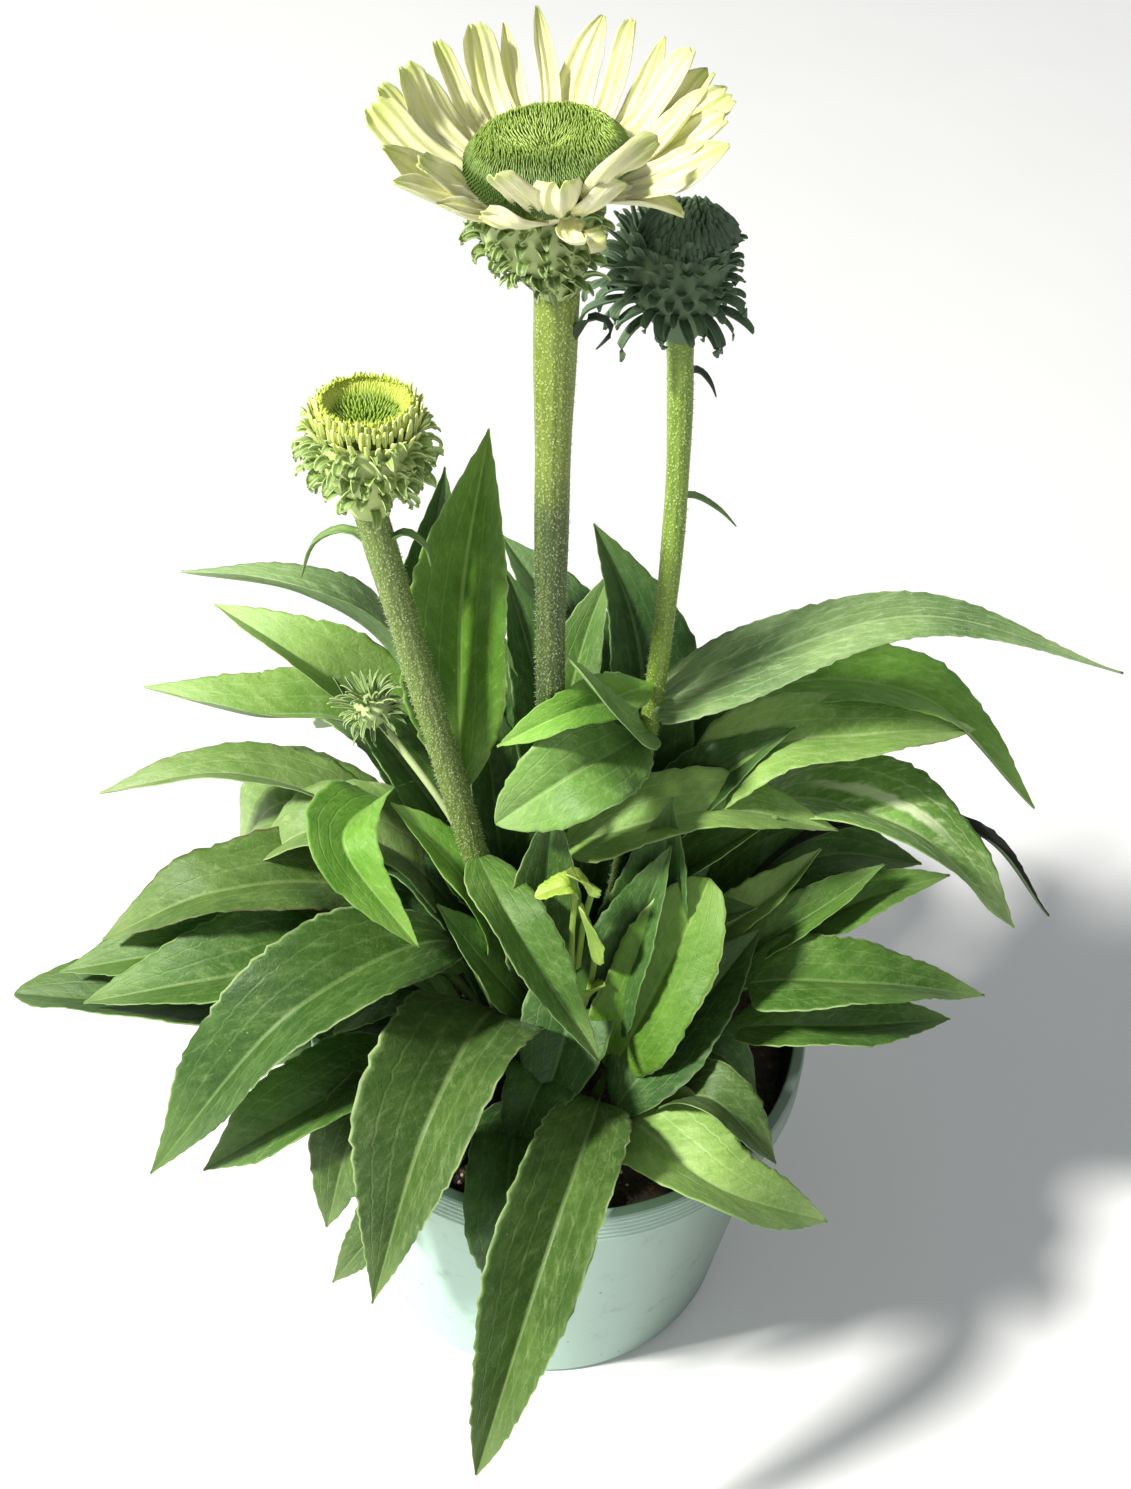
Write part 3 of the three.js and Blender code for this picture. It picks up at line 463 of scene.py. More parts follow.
def lump(name, long, wide, high, seed):
    """A rough little stone of 20 faces, that many millimetres long, wide and high."""
    rng = random.Random(seed)
    gold = (1 + math.sqrt(5)) / 2
    corners = [(s, t * gold, 0) for s in (-1, 1) for t in (-1, 1)]
    corners = corners + [(z, x, y) for x, y, z in corners] + [(y, z, x) for x, y, z in corners]
    corners = [Vector(c).normalized() * rng.uniform(0.75, 1.15) for c in corners]
    shape = bmesh.new()
    for c in corners:
        shape.verts.new((c.x * long / 2000, c.y * wide / 2000, c.z * high / 2000))
    hull = bmesh.ops.convex_hull(shape, input=shape.verts)
    bmesh.ops.delete(shape, geom=hull["geom_interior"], context="VERTS")
    bmesh.ops.recalc_face_normals(shape, faces=shape.faces)
    mesh = bpy.data.meshes.new(name)
    shape.to_mesh(mesh)
    shape.free()
    return set_up(name, mesh)


strewn_radius, strewn_rings = 74, 30
top_rings = [(strewn_radius * (1 - k / strewn_rings), 1) for k in range(strewn_rings)] + [(0, 1)]
top_verts, top_faces = turned(top_rings, 72)
top_verts = [(x, y, soil_height(x * 1000, y * 1000) / 1000) for x, y, _ in top_verts]
for piece_name, long, wide, high, per_m2, small, large, seed, finish in (
    ("bark_crumbs", 5.2, 2.6, 1.4, 70000, 0.35, 1.0, 11, crumb_finish),
    ("perlite_grains", 2.4, 2.1, 1.8, 9000, 0.35, 0.95, 12, grain_finish),
):
    stone = lump("stone", long, wide, high, seed)
    scatter = set_up(piece_name, plain_mesh(piece_name, top_verts, top_faces))
    sown.used_on(scatter, Shape=stone, Density=float(per_m2), Smallest=small, Largest=large, Tilt=0.6,
                 Seed=seed, Material=finish.material)
    bpy.data.objects.remove(stone)
    belongs(scatter, "potting_mix")


# ---------------------------------------------------------------- flower stems
# Three upright stems, round and finely ribbed, yellow-green above and dull green lower down, set with short
# stiff white bristles on pale dots. A few small bracts grow from them. Each stands 20 mm deep in the mix.
stem_depth, stem_sides, stem_ribs, rib_share = 20, 48, 12, 0.022
STEMS = {
    "main": dict(foot=(0, -3), via=(-9, 8, 244), top=(-14, 10, 380), radii=(3.7, 5.6)),
    "right": dict(foot=(9, 7), via=(22, 32, 240), top=(19, 48, 348), radii=(2.9, 3.7)),
    "left": dict(foot=(-11, 5), via=(-34, 5, 204), top=(-61, 10, 311), radii=(4.1, 4.6)),
}
HEAD_LEANS = {"main": (-0.07, -0.05), "right": (-0.02, 0.02), "left": (-0.02, 0.02)}
# Rows: points from the stem to the bract's tip, half width, skin.
BRACTS_ON_STEMS = {
    "main": [([(-11, 9, 366), (-8, 8, 372), (-6, 6, 376.5), (-2.5, 6, 377), (0, 5.5, 373.5), (-3.5, 5, 369)],
              1.9, "dark")],
    "right": [([(20, 42, 298), (27, 46, 298), (35, 46, 294), (41, 45, 289)], 1.5, "green"),
              ([(20, 47, 337), (25, 50, 337), (29, 50, 333), (31, 50, 329)], 1.6, "dark")],
    "left": [([(-58, 9, 297), (-67, 10, 304), (-76, 11, 299), (-81, 12, 285)], 1.8, "green"),
             ([(-58, 10, 300), (-51, 8, 306), (-46, 7, 303), (-44, 7, 296)], 1.6, "green")],
}


def vec(*numbers):
    return np.array(numbers, float)


def unit(v):
    return v / np.maximum(np.linalg.norm(v, axis=-1, keepdims=True), 1e-9)


def stem_point(stem, t):
    """Places at shares t of a stem, on the curve from its foot to its top that passes via halfway."""
    foot, via, top = vec(*stem["foot"], soil_top), vec(*stem["via"]), vec(*stem["top"])
    handle = (via - 0.25 * foot - 0.25 * top) / 0.5
    t = np.asarray(t, float)[..., None]
    return (1 - t) ** 2 * foot + 2 * t * (1 - t) * handle + t ** 2 * top


def skin_faces(rings, around):
    """The four-cornered faces between rings of points, each ring with that many points."""
    return [[i * around + j, i * around + (j + 1) % around, (i + 1) * around + (j + 1) % around,
             (i + 1) * around + j] for i in range(rings - 1) for j in range(around)]


def tube(path, radius, sides, ribs=0, rib_height=0.0):
    """A closed round bar along a path of points, with as many radii, fluted by that many ribs."""
    path = np.asarray(path, float)
    along = unit(np.gradient(path, axis=0))
    side = unit(vec(1, 0, 0) - along * along[:, :1])
    other = np.cross(along, side)
    a = np.linspace(0, 2 * np.pi, sides, endpoint=False)
    swell = 1 + rib_height * np.cos(ribs * a)
    ring = (np.cos(a) * swell)[None, :, None] * side[:, None]
    ring = ring + (np.sin(a) * swell)[None, :, None] * other[:, None]
    verts = (path[:, None] + ring * np.asarray(radius)[:, None, None]).reshape(-1, 3)
    faces = skin_faces(len(path), sides)
    low, high = len(verts), len(verts) + 1
    last = (len(path) - 1) * sides
    faces += [[low, (j + 1) % sides, j] for j in range(sides)]
    faces += [[high, last + j, last + (j + 1) % sides] for j in range(sides)]
    return np.vstack([verts, path[0], path[-1]]), faces


def through(points, count):
    """The smooth curve through a few points: its places, its directions and its length. count is a number of
    places, evenly spaced, or the shares of the length at which they lie."""
    p = np.asarray(points, float)
    p = np.vstack([2 * p[0] - p[1], p, 2 * p[-1] - p[-2]])
    line = []
    for a, b, c, d in zip(p, p[1:], p[2:], p[3:]):
        ka, kb, kc = (max(np.linalg.norm(v) ** 0.5, 1e-6) for v in (b - a, c - b, d - c))
        m1 = ((b - a) / ka - (c - a) / (ka + kb) + (c - b) / kb) * kb
        m2 = ((c - b) / kb - (d - b) / (kb + kc) + (d - c) / kc) * kb
        w = np.linspace(0, 1, 60, endpoint=False)[:, None]
        line.append(b + m1 * w + (3 * c - 3 * b - 2 * m1 - m2) * w ** 2 + (2 * b - 2 * c + m1 + m2) * w ** 3)
    line = np.vstack([*line, p[-2][None]])
    run = np.concatenate([[0], np.cumsum(np.linalg.norm(np.diff(line, axis=0), axis=1))])
    stations = np.asarray(count, float) if np.ndim(count) else np.linspace(0, 1, count)
    at = stations * run[-1]
    ways = unit(np.gradient(line, axis=0))
    places = np.stack([np.interp(at, run, line[:, k]) for k in range(3)], 1)
    directions = unit(np.stack([np.interp(at, run, ways[:, k]) for k in range(3)], 1))
    return places, directions, run[-1]


class Growth:
    """Gathers the closed shapes of one piece into one mesh. Each point keeps its place across and along its
    shape, whether it is on the underside, and a number of the shape's own."""

    def __init__(self):
        self.verts, self.faces, self.map, self.marks, self.count = [], [], [], [], 0

    def add(self, verts, faces, across_along=None, under=0.0, own=0.0):
        verts = np.asarray(verts, float)
        n = len(verts)
        self.faces += [[i + self.count for i in face] for face in faces]
        self.verts.append(verts)
        self.map.append(np.zeros((n, 2)) if across_along is None else across_along)
        self.marks.append(np.stack([np.broadcast_to(under, n), np.broadcast_to(own, n)], 1))
        self.count += n

    def take_in(self, other):
        """Adds all the shapes of another growth."""
        self.faces += [[i + self.count for i in face] for face in other.faces]
        self.verts += other.verts
        self.map += other.map
        self.marks += other.marks
        self.count += other.count

    def mesh(self, name, *materials):
        verts, places, marks = (np.vstack(x) for x in (self.verts, self.map, self.marks))
        mesh = plain_mesh(name, verts / 1000, self.faces, *materials)
        corner = np.zeros(len(mesh.loops), int)
        mesh.loops.foreach_get("vertex_index", corner)
        layer = mesh.uv_layers.new(name="blade")
        layer.data.foreach_set("uv", places[corner].astype(np.float32).ravel())
        for k, label in enumerate(("under", "own")):
            mark = mesh.attributes.new(label, "FLOAT", "POINT")
            mark.data.foreach_set("value", marks[:, k].astype(np.float32))
        return mesh


def places_across(count):
    """Places from one edge of a blade to the other, 1 to -1, closer together at the rib."""
    x = np.linspace(1, -1, count)
    return np.sign(x) * np.abs(x) ** 1.15


def thin_body(centre, across, out, half, height, thick, along_share):
    """A thin closed blade: centre, across, out and half at each station, then the upper face's height and
    the thickness at each station and place across. Returns points, faces, the map and which side is under."""
    n, k = height.shape
    x = places_across(k)
    top = centre[:, None] + across[:, None] * (x[None, :] * half[:, None])[..., None]
    top = top + out[:, None] * height[..., None]
    bottom = top - out[:, None] * thick[..., None]
    ring = np.concatenate([top, bottom[:, ::-1]], 1)
    w = 2 * k
    faces = skin_faces(n, w)
    end = (n - 1) * w
    for j in range(k - 1):
        faces.append([j + 1, j, w - 1 - j, w - 2 - j])
        faces.append([end + j, end + j + 1, end + w - 2 - j, end + w - 1 - j])
    u = np.concatenate([0.5 + x / 2, (0.5 + x / 2)[::-1]])
    places = np.stack(np.broadcast_arrays(u[None, :], np.asarray(along_share)[:, None]), -1).reshape(-1, 2)
    under = np.broadcast_to(np.concatenate([np.zeros(k), np.ones(k)])[None, :], (n, w)).ravel()
    return ring.reshape(-1, 3), faces, places, under


def small_bract(growth, points, half, cup=0.35, thick=0.5, own=0.0, up_hint=(0, 0, 1), twist=0.0, blunt=0.0):
    """A narrow bract along a few points, hollow above, its widest place a third of the way out; blunt runs
    from 0 for a sharp point to 1 for a rounded end."""
    stations = 12
    centre, along, _ = through(points, stations)
    s = np.linspace(0, 1, stations)
    across = unit(np.cross(np.asarray(up_hint, float), along) + 1e-6)
    out = np.cross(along, across)
    turn = (twist * s)[:, None]
    across, out = across * np.cos(turn) + out * np.sin(turn), out * np.cos(turn) - across * np.sin(turn)
    places = [0, 0.12, 0.35, 0.7, 0.92, 1]
    width = half * ((1 - blunt) * np.interp(s, places, [0.8, 0.9, 1, 0.72, 0.28, 0.08])
                    + blunt * np.interp(s, places, [0.7, 0.85, 1, 1, 0.78, 0.3]))
    x = np.linspace(-1, 1, 7)
    height = cup * width[:, None] * x[None, :] ** 2
    body = thick * (1 - 0.75 * s)[:, None] * (1 - 0.5 * np.abs(x))[None, :] + 0.08
    verts, faces, places, under = thin_body(centre, across, out, width, height, body, s)
    growth.add(verts, faces, places, under, own)


def stem_finish(name, young, old, change_from, change_to):
    """Ribbed hairy stem skin: young colour above, older and darker colour below, changing between two heights
    in millimetres. Where that change is set at a shadow's edge, the darker colour below is also painted
    shadow.
    """
    speckle = tuple(min(0.8, 1.55 * c + 0.10) for c in young)
    f = Finish(name, 0.48, Subsurface_Weight=0.08, Subsurface_Radius=(0.6, 1.0, 0.3), Subsurface_Scale=0.001)
    z = f.maths("ADD", f.times(f.place_xyz()["Z"], 1000), f.times(f.cloud(30), 30))
    young_share = f.rise(z, change_from + 15, change_to + 15)
    colour = f.blend(young_share, old, young)
    streaks = f.cloud(900, 3, f.stretched(1, 1, 0.06))
    colour = f.blend(f.times(f.rise(streaks, 0.42, 0.62), 0.5), colour, tuple(c * 0.55 for c in young))
    dots = f.line(f.cells(1150, where=f.stretched(1, 1, 0.8)), 0.0, 0.20, 0.50)
    dot_share = f.maths("ADD", 0.35, f.times(young_share, 0.45))
    colour = f.blend(f.times(dots, dot_share), colour, speckle)
    blush = f.rise(f.cloud(70, 4), 0.58, 0.75)
    f.coloured(f.blend(f.times(blush, 0.25), colour, (0.16, 0.10, 0.05)))
    f.bumped(f.maths("ADD", f.times(dots, 0.7), streaks), 0.35, 0.7)
    return f.material


bract_skins = {}
for skin_name, dull, fresh in (("dark", (0.010, 0.022, 0.010), (0.028, 0.055, 0.020)),
                               ("green", (0.085, 0.17, 0.040), (0.26, 0.40, 0.12))):
    f = Finish("stem_bract_" + skin_name, 0.55)
    f.coloured(f.blend(f.cloud(260, 4), dull, fresh))
    f.bumped(f.cloud(700, 3), 0.2, 0.6)
    bract_skins[skin_name] = f.material

bristle_finish = Finish("white_bristle", 0.45, Subsurface_Weight=0.2, Subsurface_Scale=0.0005)
bristle_colour = bristle_finish.blend(bristle_finish.cloud(120), (0.50, 0.56, 0.30), (0.78, 0.82, 0.58))
bristle_finish.coloured(bristle_colour)
three_ways = (0, 2.09, 4.19)
bristle_points = [(0.11 * math.cos(a), 0.11 * math.sin(a), -0.1) for a in three_ways]
bristle_points += [(0.06 * math.cos(a) + 0.12, 0.06 * math.sin(a), 0.6) for a in three_ways]
bristle_points += [(0.4, 0, 1.25)]
bristle_faces = [[0, 2, 1], [0, 1, 4, 3], [1, 2, 5, 4], [2, 0, 3, 5], [3, 4, 6], [4, 5, 6], [5, 3, 6]]
bristle = set_up("bristle", plain_mesh("bristle", vec(*bristle_points) / 1000, bristle_faces))

stem_skins = {
    # On the main stem the darker colour below is set where a shadow crosses the stem: partly its own older
    # colour, partly painted shadow.
    "main": stem_finish("main_stem_skin", (0.20, 0.27, 0.030), (0.040, 0.074, 0.018), 308, 334),
    "right": stem_finish("right_stem_skin", (0.20, 0.31, 0.036), (0.07, 0.125, 0.03), 190, 225),
    "left": stem_finish("left_stem_skin", (0.155, 0.225, 0.042), (0.11, 0.18, 0.032), 140, 185),
}
bristles_per_m2 = {"main": 600000, "right": 600000, "left": 700000}
for stem_name, stem in STEMS.items():
    t = np.linspace(0, 1, 96)
    path = stem_point(stem, t)
    top = path[-1] + unit(vec(*HEAD_LEANS[stem_name], 1)) * 2.0
    path = np.vstack([path[0] - (0, 0, stem_depth), path[0] - (0, 0, 8), path, top])
    share = np.concatenate([[0, 0], t, [1]])
    radius = stem["radii"][0] + (stem["radii"][1] - stem["radii"][0]) * share ** 3
    radius = radius * (1 + 0.03 * np.sin(share * 31 + len(stem_name)) * (share < 0.97))
    verts, faces = tube(path, radius, stem_sides, stem_ribs, rib_share)
    growth = Growth()
    growth.add(verts, faces)
    mesh = growth.mesh(f"{stem_name}_stem", stem_skins[stem_name])
    belongs(set_up(f"{stem_name}_stem", mesh), "stem_green", f"stem_{stem_name}")
    verts, faces = tube(path[2:-2], radius[2:-2], 24)
    hairs = set_up(f"{stem_name}_stem_bristles", plain_mesh("skin", verts / 1000, faces))
    sown.used_on(hairs, Shape=bristle, Density=float(bristles_per_m2[stem_name]), Smallest=0.35, Largest=0.95,
                 Tilt=0.5, Seed=21, Material=bristle_finish.material)
    belongs(hairs, "stem_green")
    growths = {}
    for points_on, half, skin in BRACTS_ON_STEMS[stem_name]:
        small_bract(growths.setdefault(skin, Growth()), points_on, half, cup=0.5, thick=0.9)
    for skin, growth in growths.items():
        belongs(set_up(f"{stem_name}_stem_{skin}_bracts", growth.mesh("stem_bracts", bract_skins[skin])),
                "stem_green")
bpy.data.objects.remove(bristle)


# ---------------------------------------------------------------- leaves of the rosette
# Long lance-shaped leaves on channelled stalks that stand in the mix. The blade is folded along a pale rib,
# with two pairs of long side veins, a fine net between them and small forward teeth along a thin pale edge.
# Rows: foot in the mix, base, middle and tip of the blade, width, bare share, fold, roll, then the finish.
LEAVES = [
    ((-12, 15), (-60, 66, 212), (-89, 66, 236), (-131, 75, 234), 24, 0.4, 30, 20, "grey"),
    ((-17, 13), (-67, 55, 195), (-93, 58, 217), (-121, 74, 222), 30, 0.38, 38, 0, "light"),
    ((-23, 12), (-72, 54, 190), (-106, 45, 202), (-142, 55, 201), 32, 0.38, 32, 6, "light"),
    ((-19, 7), (-66, 27, 173), (-107, 28, 191), (-152, 25, 181), 27, 0.38, 24, 6, "pale"),
    ((-28, 15), (-74, 41, 162), (-98, 41, 165), (-112, 43, 134), 38, 0.38, 19, -10, "pale"),
    ((-18, 0), (-55, 26, 184), (-69, -6, 199), (-44, -25, 174), 23, 0.46, 34, 0, "bright"),
    ((-25, 6), (-70, 10, 160), (-110, -5, 171), (-147, -9, 149), 33, 0.35, 24, 0, "purpled"),
    ((-27, 0), (-77, -3, 142), (-123, -10, 146), (-162, -11, 134), 30, 0.35, 24, 0, "mid"),
    ((-21, -5), (-66, -12, 152), (-108, -26, 154), (-150, -27, 139), 34, 0.3, 32, 0, "mid"),
    ((-32, -4), (-84, -13, 127), (-127, -18, 130), (-179, -10, 120), 34, 0.35, 24, 6, "forest"),
    ((-15, -6), (-36, -10, 160), (-77, -45, 168), (-123, -69, 110), 37, 0.26, 28, -8, "forest"),
    ((-25, -11), (-50, -34, 130), (-77, -56, 130), (-108, -63, 105), 30, 0.28, 28, 0, "mid"),
    ((-28, -17), (-46, -38, 124), (-60, -60, 126), (-68, -74, 95), 25, 0.28, 24, 0, "olive"),
    ((-22, -25), (-28, -52, 123), (-39, -74, 124), (-66, -80, 73), 20, 0.28, 24, 0, "olive"),
    ((-12, -13), (-21, -22, 142), (-36, -68, 149), (-51, -96, 89), 42, 0.22, 40, -4, "olive"),
    ((12, -35), (14, -44, 127), (3, -93, 132), (-15, -140, 72), 29, 0.09, 46, -6, "olive"),
    ((22, -36), (28, -48, 123), (51, -70, 127), (89, -64, 103), 36, 0.08, 26, 0, "light"),
    ((29, -28), (35, -36, 122), (49, -46, 138), (71, -55, 119), 20, 0.2, 32, 0, "olive"),
    ((19, -37), (22, -40, 126), (42, -20, 147), (62, 2, 164), 30, 0.16, 28, 0, "deep"),
    ((14, -27), (23, -30, 146), (34, -18, 173), (43, -4, 192), 31, 0.2, 22, 14, "grass"),
    ((-3, -24), (-9, -38, 118), (-12, -78, 126), (-10, -93, 84), 27, 0.16, 19, 0, "deep"),
    ((31, -10), (60, -15, 135), (94, -13, 138), (129, 0, 129), 23, 0.3, 28, 8, "mid"),
    ((25, -7), (58, -12, 152), (96, -11, 157), (138, 1, 141), 30, 0.40, 24, 6, "mid"),
    ((27, -1), (66, 8, 149), (96, 19, 163), (125, 31, 165), 22, 0.38, 24, 0, "mid"),
    ((21, -2), (58, 3, 150), (80, 10, 166), (101, 23, 176), 17, 0.4, 32, 0, "mid"),
    ((18, 3), (52, 10, 154), (68, 16, 168), (80, 24, 180), 16, 0.45, 32, 0, "light"),
    ((18, 9), (60, 47, 173), (104, 24, 193), (146, 16, 158), 36, 0.42, 28, 4, "streaked"),
    ((24, 11), (82, 36, 176), (130, 34, 183), (160, 27, 153), 7, 0.4, 32, 0, "withered"),
    ((14, 13), (52, 29, 213), (90, 36, 220), (127, 53, 210), 30, 0.44, 20, 6, "light"),
    ((10, 19), (56, 54, 216), (106, 58, 219), (154, 55, 175), 29, 0.44, 24, 6, "bright"),
    ((27, 19), (62, 54, 150), (88, 80, 158), (114, 104, 130), 33, 0.34, 28, 0, "mid"),
    ((13, 26), (26, 68, 150), (38, 102, 158), (50, 140, 128), 34, 0.34, 28, 0, "mid"),
    ((-4, 28), (-10, 72, 150), (-18, 108, 158), (-28, 146, 128), 34, 0.34, 28, 0, "mid"),
    ((-19, 24), (-48, 64, 150), (-72, 90, 158), (-98, 120, 128), 33, 0.34, 28, 0, "mid"),
    ((-7, 17), (-42, 52, 212), (-50, 66, 240), (-46, 68, 286), 27, 0.42, 28, 0, "deep"),
    ((-1, 18), (-3, 58, 200), (-10, 84, 218), (-30, 106, 234), 36, 0.38, 24, 0, "deep"),
    ((5, 20), (20, 54, 200), (24, 68, 222), (22, 82, 238), 38, 0.38, 24, 0, "deep"),
]


def leaf_finish(name, dark, light, vein, edge, gloss=0.46, veined=1.0, flash=0.0):
    """Leaf skin from its own map: pale rib, long and branching veins, a fine net, and a paler underside, and
    where flash is given, a cream streak in the far half of the blade."""
    f = Finish(name, gloss, Subsurface_Weight=0.10, Subsurface_Radius=(0.5, 1.0, 0.2),
               Subsurface_Scale=0.0012, Specular_IOR_Level=0.28, Sheen_Weight=0.03, Sheen_Roughness=0.45)
    across, run = f.blade_place()
    own, under = f.carried("own"), f.carried("under")
    wobble = f.times(f.maths("SUBTRACT", f.cloud(45), 0.5), 0.10)
    side = f.off_rib(across)
    bent = f.maths("ADD", side, wobble)
    rib = f.rest(f.rise(side, 0.020, 0.060))
    long_vein = f.maths("MAXIMUM", f.line(bent, 0.36, 0.008, 0.035), f.line(bent, 0.66, 0.006, 0.028))
    slanted = f.maths("ADD", f.times(run, 11.0), f.times(side, -2.2))
    steps = f.maths("FRACT", f.maths("ADD", slanted, f.times(wobble, 4.0)))
    branch = f.line(steps, 0.5, 0.02, 0.10)
    net = f.rest(f.rise(f.cells(300, "DISTANCE_TO_EDGE"), 0.015, 0.09))
    colour = f.blend(f.rise(f.cloud(32, 4), 0.30, 0.70), dark, light)
    colour = f.blend(f.times(f.cloud(420, 3), 0.35), colour, tuple(0.6 * c for c in dark))
    colour = f.blend(f.times(net, 0.05), colour, vein)
    colour = f.blend(f.times(branch, 0.05), colour, vein)
    colour = f.blend(f.times(long_vein, 0.16 * veined), colour, vein)
    colour = f.blend(f.times(f.rise(f.cloud(150, 5, rough=0.7), 0.45, 0.75), 0.24), colour, vein)
    between = f.add("ShaderNodeCombineXYZ", {"X": slanted, "Y": f.times(side, 1.4), "Z": f.times(own, 23.0)})
    streak = f.cloud(2.6, 4, between.outputs["Vector"], rough=0.65)
    colour = f.blend(f.times(f.rise(streak, 0.52, 0.70), 0.30 * veined), colour, vein)
    colour = f.blend(f.times(f.rest(f.rise(streak, 0.32, 0.48)), 0.35), colour, tuple(0.65 * c for c in dark))
    if flash:
        reach = f.times(f.rise(run, 0.16, 0.32), f.rest(f.rise(run, 0.50, 0.72)))
        ragged = f.maths("ADD", across, f.times(f.cloud(120, 3), 0.10))
        band = f.times(f.line(ragged, 0.70, 0.018, 0.062), reach)
        colour = f.blend(f.times(band, flash), colour, (0.74, 0.82, 0.52))
    colour = f.blend(f.times(rib, 0.40), colour, vein)
    colour = f.blend(f.times(f.rise(run, 0.70, 1.0), 0.42), colour, vein)
    margin = f.times(f.rise(side, 0.94, 0.995), f.rise(f.cloud(60, 3), 0.30, 0.60))
    colour = f.blend(f.times(margin, 0.75), colour, edge)
    fleck = f.times(f.rise(f.cloud(1100, 2), 0.60, 0.70), f.rise(f.cloud(90, 3), 0.42, 0.60))
    colour = f.blend(f.times(fleck, 0.30), colour, vein)
    back = f.blend(0.45, colour, (0.20, 0.32, 0.12))
    colour = f.blend(f.times(under, 0.8), colour, back)
    spots = f.times(f.line(f.cells(210), 0.0, 0.03, 0.09), f.rise(f.cloud(50), 0.56, 0.64))
    colour = f.blend(f.times(spots, 0.55), colour, (0.50, 0.47, 0.30))
    f.coloured(colour)
    veins = f.maths("MAXIMUM", f.times(branch, 0.3), long_vein)
    relief = f.maths("ADD", f.times(veins, -0.35), f.times(net, -0.10))
    f.bumped(f.maths("ADD", relief, f.cloud(420, 5, rough=0.65)), 0.40, 0.6)
    f.dulled(f.cloud(300), gloss - 0.07, gloss + 0.12)
    return f.material


# Rows: the darkest and the lightest green of the blade, its veins, and its edge.
LEAF_COLOURS = {
    "pale": ((0.142, 0.257, 0.052), (0.252, 0.378, 0.114), (0.44, 0.54, 0.26), (0.44, 0.54, 0.26)),
    "light": ((0.179, 0.341, 0.057), (0.336, 0.514, 0.133), (0.50, 0.64, 0.28), (0.40, 0.52, 0.20)),
    "fresh": ((0.105, 0.236, 0.036), (0.2, 0.373, 0.076), (0.38, 0.54, 0.20), (0.42, 0.56, 0.24)),
    "bright": ((0.105, 0.283, 0.024), (0.199, 0.419, 0.053), (0.38, 0.55, 0.16), (0.30, 0.46, 0.14)),
    "grass": ((0.065, 0.167, 0.012), (0.119, 0.259, 0.025), (0.24, 0.38, 0.08), (0.40, 0.52, 0.20)),
    "mid": ((0.05, 0.134, 0.015), (0.099, 0.215, 0.03), (0.26, 0.38, 0.13), (0.40, 0.52, 0.22)),
    "forest": ((0.029, 0.084, 0.011), (0.058, 0.138, 0.018), (0.20, 0.31, 0.10), (0.42, 0.53, 0.24)),
    "olive": ((0.041, 0.095, 0.013), (0.079, 0.156, 0.027), (0.25, 0.34, 0.13), (0.44, 0.54, 0.25)),
    "grey": ((0.105, 0.2, 0.062), (0.247, 0.383, 0.133), (0.45, 0.59, 0.30), (0.46, 0.56, 0.30)),
    # The deep greens go to leaves in shade inside and behind the crown, and are darker partly as painted
    # shade.
    "deep": ((0.026, 0.079, 0.014), (0.057, 0.143, 0.025), (0.18, 0.30, 0.09), (0.26, 0.38, 0.14)),
    "purpled": ((0.068, 0.149, 0.024), (0.138, 0.237, 0.049), (0.29, 0.39, 0.14), (0.17, 0.06, 0.07)),
    "streaked": ((0.092, 0.227, 0.03), (0.216, 0.41, 0.08), (0.55, 0.68, 0.32), (0.34, 0.46, 0.18)),
    "withered": ((0.008, 0.012, 0.010), (0.022, 0.028, 0.020), (0.05, 0.05, 0.035), (0.03, 0.025, 0.02)),
}
leaf_extras = {"grey": dict(veined=1.8), "streaked": dict(veined=2.2, flash=0.75),
               "withered": dict(gloss=0.7)}
leaf_skins = {name: leaf_finish("leaf_" + name, *colours, **leaf_extras.get(name, {}))
              for name, colours in LEAF_COLOURS.items()}


def blade_outline(s, early, late):
    """Half width along the blade, 1 at the widest. A small early makes a broad foot, a large late a long
    tip."""
    peak = early / (early + late)
    return s ** early * (1 - s) ** late / (peak ** early * (1 - peak) ** late)


# The two powers of the outline for most leaves, and for those that are broader at the foot or the tip.
usual_outline = (0.6, 1.0)
ODD_OUTLINES = {5: (0.5, 0.4), 10: (0.5, 0.65), 15: (0.3, 1.1), 16: (0.5, 0.85), 17: (0.22, 0.9),
                20: (0.5, 0.45), 23: (0.28, 1.0), 29: (0.45, 0.9), 30: (0.5, 0.9)}


